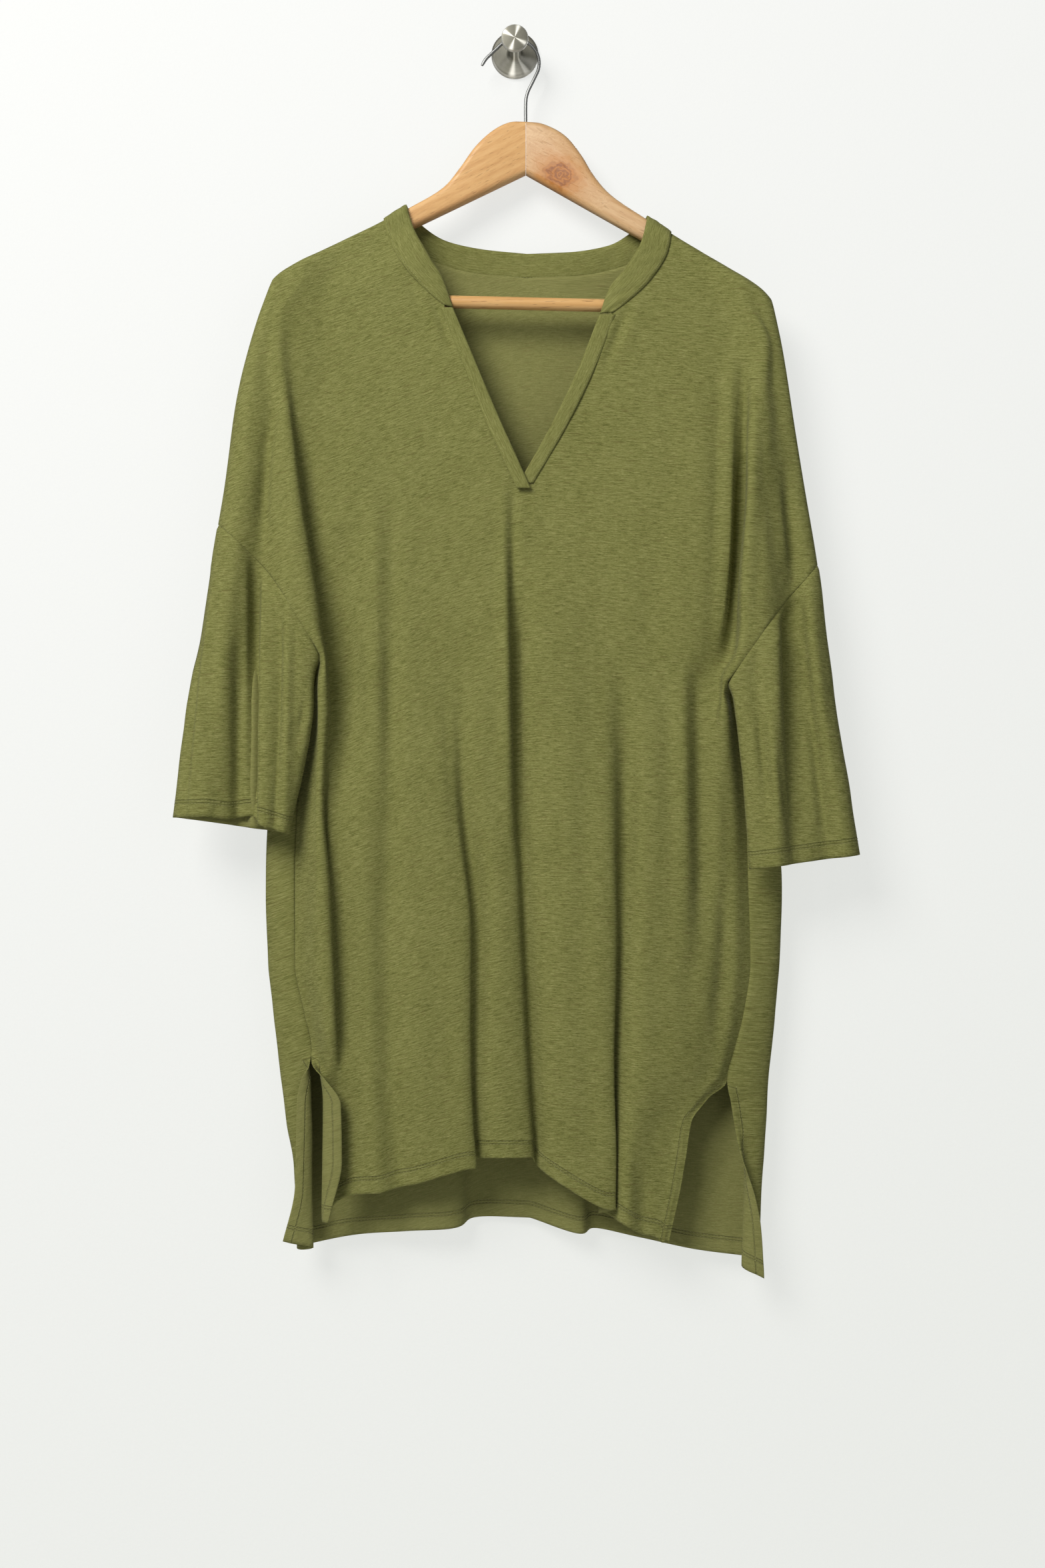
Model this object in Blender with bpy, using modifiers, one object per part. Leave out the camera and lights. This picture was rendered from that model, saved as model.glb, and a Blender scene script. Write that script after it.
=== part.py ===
"""Knitted linen tunic blouse on a wooden hanger, hung from a round wall knob.

Metres, +Z up, the front faces -Y and the wall is the plane Y = 0.
The origin is the centre of the knob's back plate, on the wall.
Side -1 is the wearer's right (at -X) and side +1 the wearer's left.
Tables are in millimetres: heights as Z, reaches as X, depths as the distance out from the wall.
"""

import math
from collections import namedtuple

import bpy
import bmesh

MM = 0.001
PART = "linen_tunic_blouse_on_hanger"

# Cloth
CLOTH_THICKNESS = 1.0
BAND_THICKNESS = 1.8
SEAM_PULL = 0.6
BAND_LIFT = 2.6
PLACKET_LIFT = 1.75
BAND_OVERLAP = 2.0
SHOULDER_ROUND = 9.0
SHOULDER_EASE = 60.0

# Marks down the panels: collar end, bust with the dropped shoulder, armpit, slit, hem
ROW_COLLAR = 0.30
ROW_BACK_NECK = 0.23
ROW_BUST = 0.72
ROW_ARMPIT = 1.0
ROW_SLIT = 2.0
ROW_HEM = 3.0
PANEL_ROWS = (
    0.0, 0.006, 0.016, 0.034, 0.08, 0.15, 0.23, 0.3, 0.38, 0.47, 0.56, 0.64, 0.72, 0.755, 0.79,
    0.825, 0.86, 0.895, 0.93, 0.965, 1.0, 1.035, 1.1, 1.25, 1.45, 1.66, 1.85, 2.0, 2.035,
    2.07, 2.12, 2.26, 2.38, 2.5, 2.62, 2.8, 3.0,
)
SLEEVE_ROWS = (0.0, 0.07, 0.18, 0.32, 0.48, 0.65, 0.82, 1.0)
SLEEVE_FRONT = (0.0, 0.0625, 0.125, 0.25, 0.375, 0.5, 0.625, 0.75, 0.875, 0.95, 1.0)
SLEEVE_BACK = (0.95, 0.875, 0.75, 0.625, 0.5, 0.375, 0.25, 0.125, 0.0625)
ARM_COLUMNS = (0.0, 0.08, 0.2, 0.38, 0.58, 0.8)
FLAP_COLUMNS = (0.0, 0.35, 0.8, 1.0)
WRAP_COLUMNS = (0.0, 0.16, 0.32, 0.48, 0.62, 0.76, 0.9)
WRAP_AT_SLIT = (0.0, 0.02, 0.04, 0.06, 0.25, 0.45, 0.72)

# Hanger
ARM_THICKNESS = 13.0
ARM_ROUNDING = 5.0
ARM_DEPTH = 20.0
ARM_SWEEP = 0.123
CLOTH_OVER_ARM = 8.4
MITRE_X = 10.0
MITRE_TOP = -68.6
MITRE_FOOT = -116.6
FIT_GAP = 0.3
BAR_RADIUS = 5.7
BAR_DEPTH = 43.5
WIRE_RADIUS = 1.5
HOOK_DEPTH = 20.0
HOOK_RADIUS = 21.7
HOOK_CENTRE_X = 0.6
HOOK_CENTRE_Z = -14.4

# Arm of the blouse, from the shoulder to the cuff: lines down it, and their depths
Arm = namedtuple("Arm", "height outline valley inner edge outer dip crest back")
ARM = {
    -1: (
        Arm(-220, -219, -210, -190, 48, 56, 56, 57, 40),
        Arm(-257, -232, -220, -209, 48, 60, 59, 61, 38),
        Arm(-330, -251, -219, -201, 48, 66, 60, 69, 36),
        Arm(-410, -262, -221, -191, 49, 70, 60, 75, 36),
        Arm(-480, -274, -227, -181, 50, 73, 60, 77, 38),
        Arm(-559, -286, -235, -173, 51, 75, 61, 78, 44),
        Arm(-575, -289, -237, -178, 51, 75, 61, 78, 45),
        Arm(-620, -296.5, -241, -181, 52, 76, 62, 79, 47),
        Arm(-718, -308, -244, -201, 54, 78, 64, 80, 49),
    ),
    1: (
        Arm(-238, 232, 223, 204, 48, 56, 56, 57, 40),
        Arm(-275, 240, 231, 221, 48, 56, 57, 61, 38),
        Arm(-364, 254.5, 239, 211, 48, 56, 57, 72, 36),
        Arm(-410, 262, 243, 206, 49, 57, 57, 75, 36),
        Arm(-477, 273, 249, 203, 50, 60, 57, 77, 38),
        Arm(-583, 286, 257, 190, 51, 68, 60, 78, 44),
        Arm(-599, 288, 260, 195, 51, 69, 61, 78, 45),
        Arm(-638, 294, 267, 200, 52, 71, 62, 79, 47),
        Arm(-750, 311.5, 281, 209, 54, 74, 64, 80, 49),
    ),
}
UNDERARM_DEPTH = 70.0
BACK_AT_UNDERARM = 61.0
ARMHOLE_HOLLOW = 16.0
UNDERARM_EASE = 4.5
CUFF_OUTER = {-1: -704.0, 1: -737.0}
CUFF_INNER = {-1: -718.0, 1: -750.0}
SEAM_ARCH = {-1: 14.0, 1: 5.0}

# Corners of the cut: shoulder tip, dropped shoulder, armpit
Corner = namedtuple("Corner", "shoulder dropped armpit_x armpit_height")
CORNER = {
    -1: Corner(-220, -441, -173, -559),
    1: Corner(-238, -477, 190, -583),
}

# Shoulder seam, along the top of the hanger's arm
Shoulder = namedtuple("Shoulder", "reach height")
SHOULDER = {
    -1: (
        Shoulder(-219, -220), Shoulder(-211, -213), Shoulder(-198, -205),
        Shoulder(-156, -183), Shoulder(-119, -163), Shoulder(-98.5, -149.5), Shoulder(-65, -129),
    ),
    1: (
        Shoulder(87, -135.5), Shoulder(120.5, -160), Shoulder(142, -175), Shoulder(165, -190),
        Shoulder(199, -212),
        Shoulder(221, -226.5), Shoulder(232, -238),
    ),
}

# Neck seams of the front and back, and the free edge of the collar band beside them
Neck = namedtuple("Neck", "along reach height free_reach free_height")
FRONT_NECK = {
    -1: (
        Neck(0.0, -119, -163, -98.5, -149), Neck(0.25, -114, -182, -91, -173),
        Neck(0.5, -102, -205, -77.5, -198), Neck(0.75, -86, -224, -64.5, -219),
        Neck(1.0, -65, -243, -55.5, -245),
    ),
    1: (
        Neck(0.0, 142, -175, 120.5, -159), Neck(0.25, 138, -194, 114, -185),
        Neck(0.5, 125, -217, 100, -209), Neck(0.75, 108, -235, 85, -228),
        Neck(1.0, 89, -250, 76.5, -251),
    ),
}
BACK_NECK = {
    -1: (
        Neck(0.0, -119, -163, -98.5, -149), Neck(0.25, -104, -182, -84, -164),
        Neck(0.5, -77, -196, -63, -176), Neck(0.75, -38, -207, -29, -183),
        Neck(1.0, 10, -211, 11, -186.5),
    ),
    1: (
        Neck(0.0, 142, -175, 120.5, -159), Neck(0.25, 127, -190, 106, -170),
        Neck(0.5, 98, -202, 87, -180), Neck(0.75, 58, -209.5, 51, -185.5),
        Neck(1.0, 10, -211, 11, -186.5),
    ),
}

# V opening: the line where each placket band is sewn on, and its free edge
Placket = namedtuple("Placket", "height seam free")
PLACKET = {
    -1: (
        Placket(-246, -66.5, -55.5), Placket(-295, -47, -35),
        Placket(-346, -27, -13.5), Placket(-409, 2, 14.5),
    ),
    1: (
        Placket(-252.5, 90.5, 76), Placket(-303, 71, 56),
        Placket(-352, 47, 32.5), Placket(-404, 16.5, 3.5),
    ),
}
V_POINT_X = 8.0
V_POINT_HEIGHT = -398.0
PLACKET_LAP = 2.4

# Front of the body, how far it stands out from the wall
Chest = namedtuple("Chest", "height depth")
CHEST = (
    Chest(-240, 52), Chest(-400, 54), Chest(-480, 57), Chest(-571, 59),
    Chest(-700, 60), Chest(-930, 60), Chest(-1085, 59),
)
BACK_DEPTH = 14.0

# The level rows hang lower on the wearer's left
ARMPIT_ROW = -571.0
SLIT_ROW = -927.0
ROW_TILT = -0.066

# Side seams, and the outline of the body behind the sleeves
Flank = namedtuple("Flank", "height seam seam_depth outline outline_depth")
FLANK = {
    -1: (
        Flank(-559, -173, 70, -176, 48), Flank(-571, -177, 54, -182, 38),
        Flank(-600, -184, 46, -193, 31), Flank(-650, -192, 43, -213, 27),
        Flank(-700, -197, 43, -225, 27), Flank(-762, -199, 43, -228, 27),
        Flank(-838, -199, 43, -226, 27), Flank(-880, -191, 43, -221, 27),
        Flank(-915, -184, 43, -217, 27), Flank(-980, -184, 43, -208, 28),
        Flank(-1016, -184, 43, -201, 29), Flank(-1095, -184, 43, -198, 30),
    ),
    1: (
        Flank(-583, 190, 70, 193, 48), Flank(-595, 194, 54, 199, 38),
        Flank(-624, 201, 46, 211, 31), Flank(-670, 207, 43, 230, 27),
        Flank(-720, 210, 43, 241, 27), Flank(-761, 211, 43, 244, 27),
        Flank(-834, 213, 43, 242, 27), Flank(-880, 207, 43, 238, 27),
        Flank(-912, 199, 43, 235, 27), Flank(-940, 192, 43, 232, 27),
        Flank(-980, 192, 43, 230, 27), Flank(-1053, 192, 43, 225.5, 28),
        Flank(-1118, 192, 43, 224, 29),
    ),
}

# Slit margins below the side seams: the hemmed free edge, and the line where the margin turns
Slit = namedtuple("Slit", "height edge edge_depth turn turn_depth")
FRONT_SLIT = {
    -1: (
        Slit(-915, -184, 43, -177, 47), Slit(-925, -182, 54, -177, 48),
        Slit(-937, -169, 64, -175, 54), Slit(-958, -155, 66, -173, 57),
        Slit(-1010, -154, 66, -173, 57), Slit(-1052, -163, 65, -173, 57),
        Slit(-1067, -167, 64, -173, 57),
    ),
    1: (
        Slit(-939, 192, 43, 187, 46), Slit(-962, 171, 50, 166, 52),
        Slit(-978, 159, 55, 154, 56), Slit(-1010, 153.5, 57, 148.5, 58),
        Slit(-1036, 149, 57, 144, 58), Slit(-1086, 138, 56, 133, 58),
    ),
}
BACK_SLIT = {
    -1: (
        Slit(-915, -184, 43, -189, 42), Slit(-928, -186, 50, -185, 42), Slit(-940, -192, 51, -183, 43),
        Slit(-959, -196, 50, -182, 43), Slit(-1001, -197, 50, -181.5, 42),
        Slit(-1037, -198, 49, -181.5, 42), Slit(-1090, -210, 48, -181, 41),
    ),
    1: (
        Slit(-939, 192, 43, 197, 41), Slit(-987, 199.5, 42, 204.5, 40),
        Slit(-1005, 203, 47, 206, 40), Slit(-1020, 208, 49, 207, 40),
        Slit(-1033, 213, 49, 207, 39), Slit(-1046, 217, 48, 207, 39),
        Slit(-1072, 222, 47, 206, 38), Slit(-1115, 225, 46, 205, 37),
    ),
}

# The fold beside each arm, from the shoulder to the hem: a crest, a hollow and its foot
SideFold = namedtuple("SideFold", "height crest depth strength foot")
SIDE_FOLD = {
    -1: (
        SideFold(-220, -190, 57, 0.0, -160), SideFold(-257, -209, 61, 0.1, -172),
        SideFold(-330, -201, 69, 0.5, -174), SideFold(-410, -191, 75, 1.0, -168),
        SideFold(-480, -181, 77, 1.0, -158), SideFold(-540, -169, 78, 1.0, -145),
        SideFold(-571, -164, 77, 0.9, -139), SideFold(-640, -170, 72, 0.8, -142),
        SideFold(-690, -172, 70, 0.9, -145), SideFold(-810, -164, 69, 1.0, -138),
        SideFold(-890, -159, 68, 1.0, -133), SideFold(-925, -158, 58, 0.8, -132),
        SideFold(-950, -158, 51, 0.4, -132),
        SideFold(-1010, -158, 50, 0.3, -133), SideFold(-1055, -159, 50, 0.2, -134),
    ),
    1: (
        SideFold(-238, 204, 57, 0.0, 175), SideFold(-275, 221, 61, 0.1, 190),
        SideFold(-364, 211, 72, 0.7, 184), SideFold(-409, 206, 75, 1.0, 180),
        SideFold(-493, 203, 77, 1.0, 174), SideFold(-536, 198, 78, 1.0, 168),
        SideFold(-583, 183, 77, 0.9, 156), SideFold(-640, 184, 61, 0.35, 154),
        SideFold(-720, 190, 52, 0.1, 157), SideFold(-820, 191, 51, 0.0, 164),
        SideFold(-925, 179, 52, 0.0, 158), SideFold(-962, 158, 56, 0.0, 138),
        SideFold(-978, 147, 57, 0.0, 129), SideFold(-1036, 136, 58, 0.0, 119),
        SideFold(-1086, 126, 58, 0.0, 112),
    ),
}
SIDE_HOLLOW = 48.0
SideHem = namedtuple("SideHem", "edge top crest start hollow foot")
SIDE_HEM = {
    -1: SideHem(-1066, -1053, -1049, -1047, -1045, -1041),
    1: SideHem(-1085, -1081, -1080, -1079, -1078, -1077),
}

# Folds of the skirt: reach at five heights, swell of the crest, depth of the hollow, hem heights
FOLD_HEIGHTS = (-571, -690, -810, -930, -1045)
Fold = namedtuple("Fold", "reaches begin full crest hollow overlap hem_overlap rise hem_crest hem_hollow hem_foot")
SOFT_RIGHT = Fold((-114, -117, -116, -113, -103), -450, -600, 2, 5, 0, 0, 26, -1040, -1036, -1032)
EDGE_RIGHT = Fold((-61, -51, -37, -38, -31), -540, -720, 5, 11, -1, 6, 22, -1018, -1011, -1008)
CENTRE = Fold((-1, 1, 6, 12, 18), -440, -560, 3, 14, 1, 3, 21, -1008, -1016, -1026)
EDGE_LEFT = Fold((87, 93, 94, 92, 92), -540, -760, 8, 10, -1, 18, 26, -1054, -1060, -1068)

# Lines down the back: reach and depth at the armpits and at the hem, and the hem's height
BackLine = namedtuple("BackLine", "top_reach hem_reach top_depth hem_depth hem")
BACK_LINES = {
    -1: (
        BackLine(-145, -150, 14, 15, -1088), BackLine(-104, -100, 14, 25, -1082),
        BackLine(-54, -51, 14, 26, -1078), BackLine(-43, -40, 13, 11, -1073),
    ),
    1: (
        BackLine(160, 165, 14, 19, -1100), BackLine(112, 114, 14, 14, -1090),
        BackLine(66, 70, 14, 12, -1082), BackLine(56, 62, 14, 24, -1085),
    ),
}
BACK_CENTRE = BackLine(5, 14, 14, 9, -1073)
BACK_HEM_SIDE = {-1: (-1086, -1096), 1: (-1120, -1106)}

# Hanger arm outline, from the top of the mitre round the tip to the foot of the mitre
ArmPoint = namedtuple("ArmPoint", "reach height")
HANGER_ARM = {
    -1: (
        ArmPoint(-4, -69.5), ArmPoint(-19, -77), ArmPoint(-36, -93), ArmPoint(-50, -113),
        ArmPoint(-65, -131.5), ArmPoint(-98, -152.5), ArmPoint(-119, -165.2),
        ArmPoint(-156, -185.2), ArmPoint(-196, -207), ArmPoint(-208, -215),
        ArmPoint(-214.5, -224), ArmPoint(-214.5, -236), ArmPoint(-208, -244.5),
        ArmPoint(-193, -245.5), ArmPoint(-187, -242.5), ArmPoint(-187, -229),
        ArmPoint(-179, -219), ArmPoint(-163, -206), ArmPoint(-130, -189), ArmPoint(-93, -170),
    ),
    1: (
        ArmPoint(25, -71), ArmPoint(45, -82), ArmPoint(60, -100), ArmPoint(72, -120),
        ArmPoint(87, -138), ArmPoint(121, -162.5), ArmPoint(142, -177.2),
        ArmPoint(165, -192.2), ArmPoint(198, -214.2), ArmPoint(218, -228.5),
        ArmPoint(226, -239), ArmPoint(226.5, -250), ArmPoint(220, -256.5),
        ArmPoint(205, -257), ArmPoint(199, -252), ArmPoint(199, -238.5),
        ArmPoint(191, -230), ArmPoint(174, -215), ArmPoint(150, -200), ArmPoint(117, -181),
    ),
}
BarEnd = namedtuple("BarEnd", "reach height")
BAR_ENDS = (BarEnd(-186.7, -235.6), BarEnd(198.7, -244.6))

# Wall knob, from its plate on the wall to its face
KnobRing = namedtuple("KnobRing", "depth radius")
KNOB = (
    KnobRing(0.0, 21.7), KnobRing(2.4, 21.7), KnobRing(3.8, 20.6), KnobRing(4.4, 18.8),
    KnobRing(4.4, 8.4), KnobRing(5.6, 6.4), KnobRing(8.0, 5.5), KnobRing(34.0, 5.5),
    KnobRing(36.5, 6.4), KnobRing(38.0, 9.8), KnobRing(39.0, 11.6), KnobRing(40.4, 12.2),
    KnobRing(43.4, 12.2), KnobRing(44.6, 11.4), KnobRing(45.0, 10.0),
)

COLOURS = {
    "cloth": ((0.165, 0.180, 0.050, 1.0), 0.9, 0.0),
    "wood_right": ((0.62, 0.36, 0.15, 1.0), 0.5, 0.0),
    "wood_left": ((0.62, 0.31, 0.14, 1.0), 0.5, 0.0),
    "wire": ((0.55, 0.56, 0.56, 1.0), 0.25, 1.0),
    "steel": ((0.50, 0.48, 0.45, 1.0), 0.35, 1.0),
}


# Interpolation

def lerp(a, b, part):
    return a + (b - a) * part


def ease(value):
    value = max(0.0, min(1.0, value))
    return value * value * (3.0 - 2.0 * value)


def quarter(value):
    """Rise of a quarter of an ellipse, from 0 at 0 to 1 at 1."""
    value = max(0.0, min(1.0, value))
    return math.sqrt(1.0 - (1.0 - value) ** 2)


def smooth_pairs(pairs, at):
    """Smooth value through (position, value) pairs, without overshoot."""
    if pairs[0][0] > pairs[-1][0]:
        pairs = pairs[::-1]
    if at <= pairs[0][0]:
        return pairs[0][1]
    if at >= pairs[-1][0]:
        return pairs[-1][1]
    slopes = [(b[1] - a[1]) / (b[0] - a[0]) for a, b in zip(pairs, pairs[1:])]
    tangents = [slopes[0]]
    for before, after in zip(slopes, slopes[1:]):
        both = before * after
        tangents.append(2.0 * both / (before + after) if both > 0.0 else 0.0)
    tangents.append(slopes[-1])
    i = next(n for n in range(len(slopes)) if at <= pairs[n + 1][0])
    span = pairs[i + 1][0] - pairs[i][0]
    v = (at - pairs[i][0]) / span
    return (pairs[i][1] * (1 + 2 * v) * (1 - v) ** 2 + tangents[i] * span * v * (1 - v) ** 2
            + pairs[i + 1][1] * v * v * (3 - 2 * v) + tangents[i + 1] * span * v * v * (v - 1))


def at_height(rows, height, column):
    return smooth_pairs([(row.height, getattr(row, column)) for row in rows], height)


def blend(p, q, part):
    return tuple(lerp(a, b, part) for a, b in zip(p, q))


def curve_through(knots, counts):
    """Points on a smooth curve through the knots, with counts[i] steps after knot i."""
    gaps = [max(0.05, math.dist(a, b)) ** 0.5 for a, b in zip(knots, knots[1:])]
    tangents = []
    for i, knot in enumerate(knots):
        if i == 0:
            tangents.append([(b - a) / gaps[0] for a, b in zip(knot, knots[1])])
        elif i == len(knots) - 1:
            tangents.append([(b - a) / gaps[-1] for a, b in zip(knots[i - 1], knot)])
        else:
            g, h = gaps[i - 1], gaps[i]
            tangents.append([((c - b) / h * g + (b - a) / g * h) / (g + h)
                             for a, b, c in zip(knots[i - 1], knot, knots[i + 1])])
    points = []
    for i, count in enumerate(counts):
        for step in range(count):
            v = step / count
            weights = ((1 + 2 * v) * (1 - v) ** 2, v * (1 - v) ** 2 * gaps[i],
                       v * v * (3 - 2 * v), v * v * (v - 1) * gaps[i])
            points.append(tuple(
                weights[0] * a + weights[1] * m + weights[2] * b + weights[3] * n
                for a, m, b, n in zip(knots[i], tangents[i], knots[i + 1], tangents[i + 1])))
    points.append(tuple(knots[-1]))
    return points


# Depths out from the wall

def arm_depth(x):
    """Middle of the hanger's arm, which sweeps forward to its tip."""
    return ARM_DEPTH + ARM_SWEEP * abs(x - MITRE_X)


def shoulder_height(side, x):
    return smooth_pairs([(row.reach, row.height) for row in SHOULDER[side]], x)


def below_shoulder(side, x, z):
    return max(0.0, shoulder_height(side, x) - z)


def over_hanger(side, x, z, depth):
    """A depth that starts at the shoulder seam and rounds over the hanger's arm."""
    return lerp(arm_depth(x), depth, quarter(below_shoulder(side, x, z) / SHOULDER_ROUND))


def front_arm_depth(side, x, z):
    """Front layer of the arm: round at its outline, with a hollow down its middle."""
    outline = at_height(ARM[side], z, "outline")
    valley = at_height(ARM[side], z, "valley")
    inner = at_height(ARM[side], z, "inner")
    edge, outer, dip, crest = (at_height(ARM[side], z, c) for c in ("edge", "outer", "dip", "crest"))
    outer_x = outline - side * max(10.0, 0.5 * abs(valley - outline))
    valley = min(valley, outer_x - 6.0) if side > 0 else max(valley, outer_x + 6.0)
    crest_x = lerp(valley, inner, 0.6)
    if (x - outer_x) * side > 0:
        depth = lerp(edge, outer, quarter((x - outline) / (outer_x - outline)))
    elif (x - valley) * side > 0:
        depth = lerp(outer, dip, ease((x - outer_x) / (valley - outer_x)))
    else:
        depth = lerp(dip, crest, ease((x - valley) / (crest_x - valley)))
    return over_hanger(side, x, z, depth)


def front_sleeve_depth(side, x, z, inner_x):
    """Front layer of the sleeve, rounded also at its inner edge."""
    return lerp(UNDERARM_DEPTH, front_arm_depth(side, x, z), quarter(abs(x - inner_x) / 14.0))


def back_arm_depth(side, x, z):
    """Back layer of the shoulder, from the outline in to the plain back."""
    outline = at_height(ARM[side], z, "outline")
    edge = at_height(ARM[side], z, "edge")
    inward = abs(x - outline)
    below = below_shoulder(side, x, z)
    back = lerp(arm_depth(x) - CLOTH_OVER_ARM, at_height(ARM[side], z, "back"), ease((below - 50.0) / 60.0))
    off_hanger = ease((below_shoulder(side, outline, z) - 30.0) / 60.0)
    layer = lerp(edge, back, quarter(inward / lerp(8.0, 16.0, off_hanger)))
    hung = lerp(arm_depth(x) - CLOTH_OVER_ARM, BACK_DEPTH, ease((below - 12.0) / 80.0))
    return over_hanger(side, x, z, lerp(layer, hung, ease((inward - 10.0) / 90.0)))


def chest_depth(side, x, z):
    """Plain front of the body, from the shoulder seam down."""
    near_seam = arm_depth(x) + CLOTH_OVER_ARM
    depth = lerp(near_seam, at_height(CHEST, z, "depth"), ease(below_shoulder(side, x, z) / SHOULDER_EASE))
    return over_hanger(side, x, z, depth)


# Edges of the cut

def armhole(side, v, back):
    """Armhole seam from the dropped shoulder, v = 0, to the armpit, v = 1."""
    corner = CORNER[side]
    start_x = at_height(ARM[side], corner.dropped, "outline")
    x = lerp(start_x, corner.armpit_x, v)
    z = lerp(corner.dropped, corner.armpit_height, v) + SEAM_ARCH[side] * math.sin(math.pi * v)
    if back:
        edge = at_height(ARM[side], corner.dropped, "edge")
        return x, lerp(edge, UNDERARM_DEPTH, v * v) - ARMHOLE_HOLLOW * math.sin(math.pi * v), z
    return x, front_sleeve_depth(side, x, z, corner.armpit_x), z


def outer_edge(side, t, back):
    """Outer edge of a panel above the armpit row: down the arm's top, then along the armhole."""
    corner = CORNER[side]
    if t <= ROW_BUST:
        z = lerp(corner.shoulder, corner.dropped, t / ROW_BUST)
        return at_height(ARM[side], z, "outline"), at_height(ARM[side], z, "edge"), z
    return armhole(side, (t - ROW_BUST) / (ROW_ARMPIT - ROW_BUST), back)


def neck_at(rows, along, column):
    return smooth_pairs([(row.along, getattr(row, column)) for row in rows], along)


def neck_edge(rows, along):
    """Edge of a panel at the neck: the seam, and the turning that lies under the band."""
    x, z = neck_at(rows, along, "reach"), neck_at(rows, along, "height")
    dx, dz = neck_at(rows, along, "free_reach") - x, neck_at(rows, along, "free_height") - z
    share = BAND_OVERLAP / math.hypot(dx, dz)
    return x + dx * share, z + dz * share


def front_inner_edge(side, t):
    """Neck edge, V edge, then the line down the middle of the front."""
    if t <= ROW_COLLAR:
        return neck_edge(FRONT_NECK[side], t / ROW_COLLAR)
    if t <= ROW_BUST:
        part = (t - ROW_COLLAR) / (ROW_BUST - ROW_COLLAR)
        start_x, start_z = neck_edge(FRONT_NECK[side], 1.0)
        z = lerp(start_z, V_POINT_HEIGHT, part)
        seam = at_height(PLACKET[side], z, "seam") - side * BAND_OVERLAP
        seam = lerp(start_x, seam, ease(part / 0.1))
        return lerp(seam, V_POINT_X, ease((part - 0.86) / 0.14)), z
    z = lerp(V_POINT_HEIGHT, ARMPIT_ROW, (t - ROW_BUST) / (ROW_ARMPIT - ROW_BUST))
    return lerp(V_POINT_X, fold_reach(CENTRE, z), ease((V_POINT_HEIGHT - z) / 60.0)), z


def back_inner_edge(side, t):
    if t <= ROW_BACK_NECK:
        return neck_edge(BACK_NECK[side], t / ROW_BACK_NECK)
    x, z = neck_edge(BACK_NECK[side], 1.0)
    part = (t - ROW_BACK_NECK) / (ROW_ARMPIT - ROW_BACK_NECK)
    return lerp(x, BACK_CENTRE.top_reach, part), lerp(z, ARMPIT_ROW, part)


def seam_line(side, t, outer, inner, neck, reach):
    """Height of row t at a reach: level between its ends, and along the shoulder seam at the top."""
    straight = lerp(outer[1], inner[1], (reach - outer[0]) / (inner[0] - outer[0]))
    first = at_height(ARM[side], CORNER[side].shoulder, "outline")
    part = max(0.0, min(1.0, (reach - first) / (neck[0] - first)))
    bend = shoulder_height(side, lerp(first, neck[0], part)) - lerp(CORNER[side].shoulder, neck[1], part)
    return straight + bend * (1.0 - ease(t / 0.35))


# Rows of the front

def fold_reach(fold, z):
    return smooth_pairs(list(zip(FOLD_HEIGHTS, fold.reaches)), z)


def row_height(t, x, hem):
    """Height of the rows from the armpits down; they tilt, and end on the hem."""
    armpit = ARMPIT_ROW + ROW_TILT * x
    slit = SLIT_ROW + ROW_TILT * x
    if t <= ROW_SLIT:
        return lerp(armpit, slit, t - ROW_ARMPIT)
    return lerp(slit, hem, t - ROW_SLIT)


def fold_knots(fold, z, soft=False):
    """Knots across one fold, in +X order, as (reach, swell, hem height)."""
    x = fold_reach(fold, z)
    strength = ease((fold.begin - z) / (fold.begin - fold.full))
    if soft:
        return [
            (x - fold.rise * 0.6, fold.crest * strength, fold.hem_crest),
            (x, -fold.hollow * strength, fold.hem_hollow),
            (x + fold.rise * 0.6, fold.crest * strength, fold.hem_foot),
        ]
    overlap = lerp(fold.overlap, fold.hem_overlap, max(0.0, (-700.0 - z) / 345.0)) * strength
    start = x - overlap + lerp(6.0, 1.0, strength)
    return [
        (x - 9.0, fold.crest * strength, fold.hem_crest),
        (x, (fold.crest - 4.0) * strength, fold.hem_crest),
        (start, (4.0 - fold.hollow) * strength, fold.hem_hollow),
        (start + 6.0, -fold.hollow * strength, fold.hem_hollow),
        (x - overlap + fold.rise, (fold.crest - 1.0) * strength, fold.hem_foot),
    ]


def skirt_knots(side, z):
    """Knots of one half of the skirt, from beside the side fold in to the middle."""
    if side < 0:
        return fold_knots(SOFT_RIGHT, z, soft=True) + fold_knots(EDGE_RIGHT, z) + fold_knots(CENTRE, z)[:2]
    centre = fold_knots(CENTRE, z)
    return (centre[1:2] + centre[3:] + fold_knots(EDGE_LEFT, z))[::-1]


def side_fold(side, z):
    rows = SIDE_FOLD[side]
    return tuple(at_height(rows, z, column) for column in ("crest", "depth", "strength", "foot"))


def side_fold_knots(side, crest_z, edge_x, height, plain):
    """Crest top, crest edge, hollow edge, hollow and foot of the fold beside the arm."""
    crest, depth, strength, foot = side_fold(side, crest_z)
    top = crest + side * min(6.0, 0.35 * abs(crest - edge_x))
    floor_x = crest - side * lerp(5.0, 1.5, strength)
    low_x = floor_x - side * 4.5
    foot_depth = plain(foot, height(foot))
    slope = [lerp(depth, foot_depth, abs(x - crest) / max(1.0, abs(foot - crest))) for x in (floor_x, low_x)]

    def hang(x, value):
        return over_hanger(side, x, height(x), value)

    return [
        (top, hang(top, depth)),
        (crest, hang(crest, depth - 4.0 * strength)),
        (floor_x, hang(floor_x, lerp(slope[0], SIDE_HOLLOW + 4.0, strength))),
        (low_x, hang(low_x, lerp(slope[1], SIDE_HOLLOW, strength))),
        (foot, foot_depth),
    ]


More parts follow.
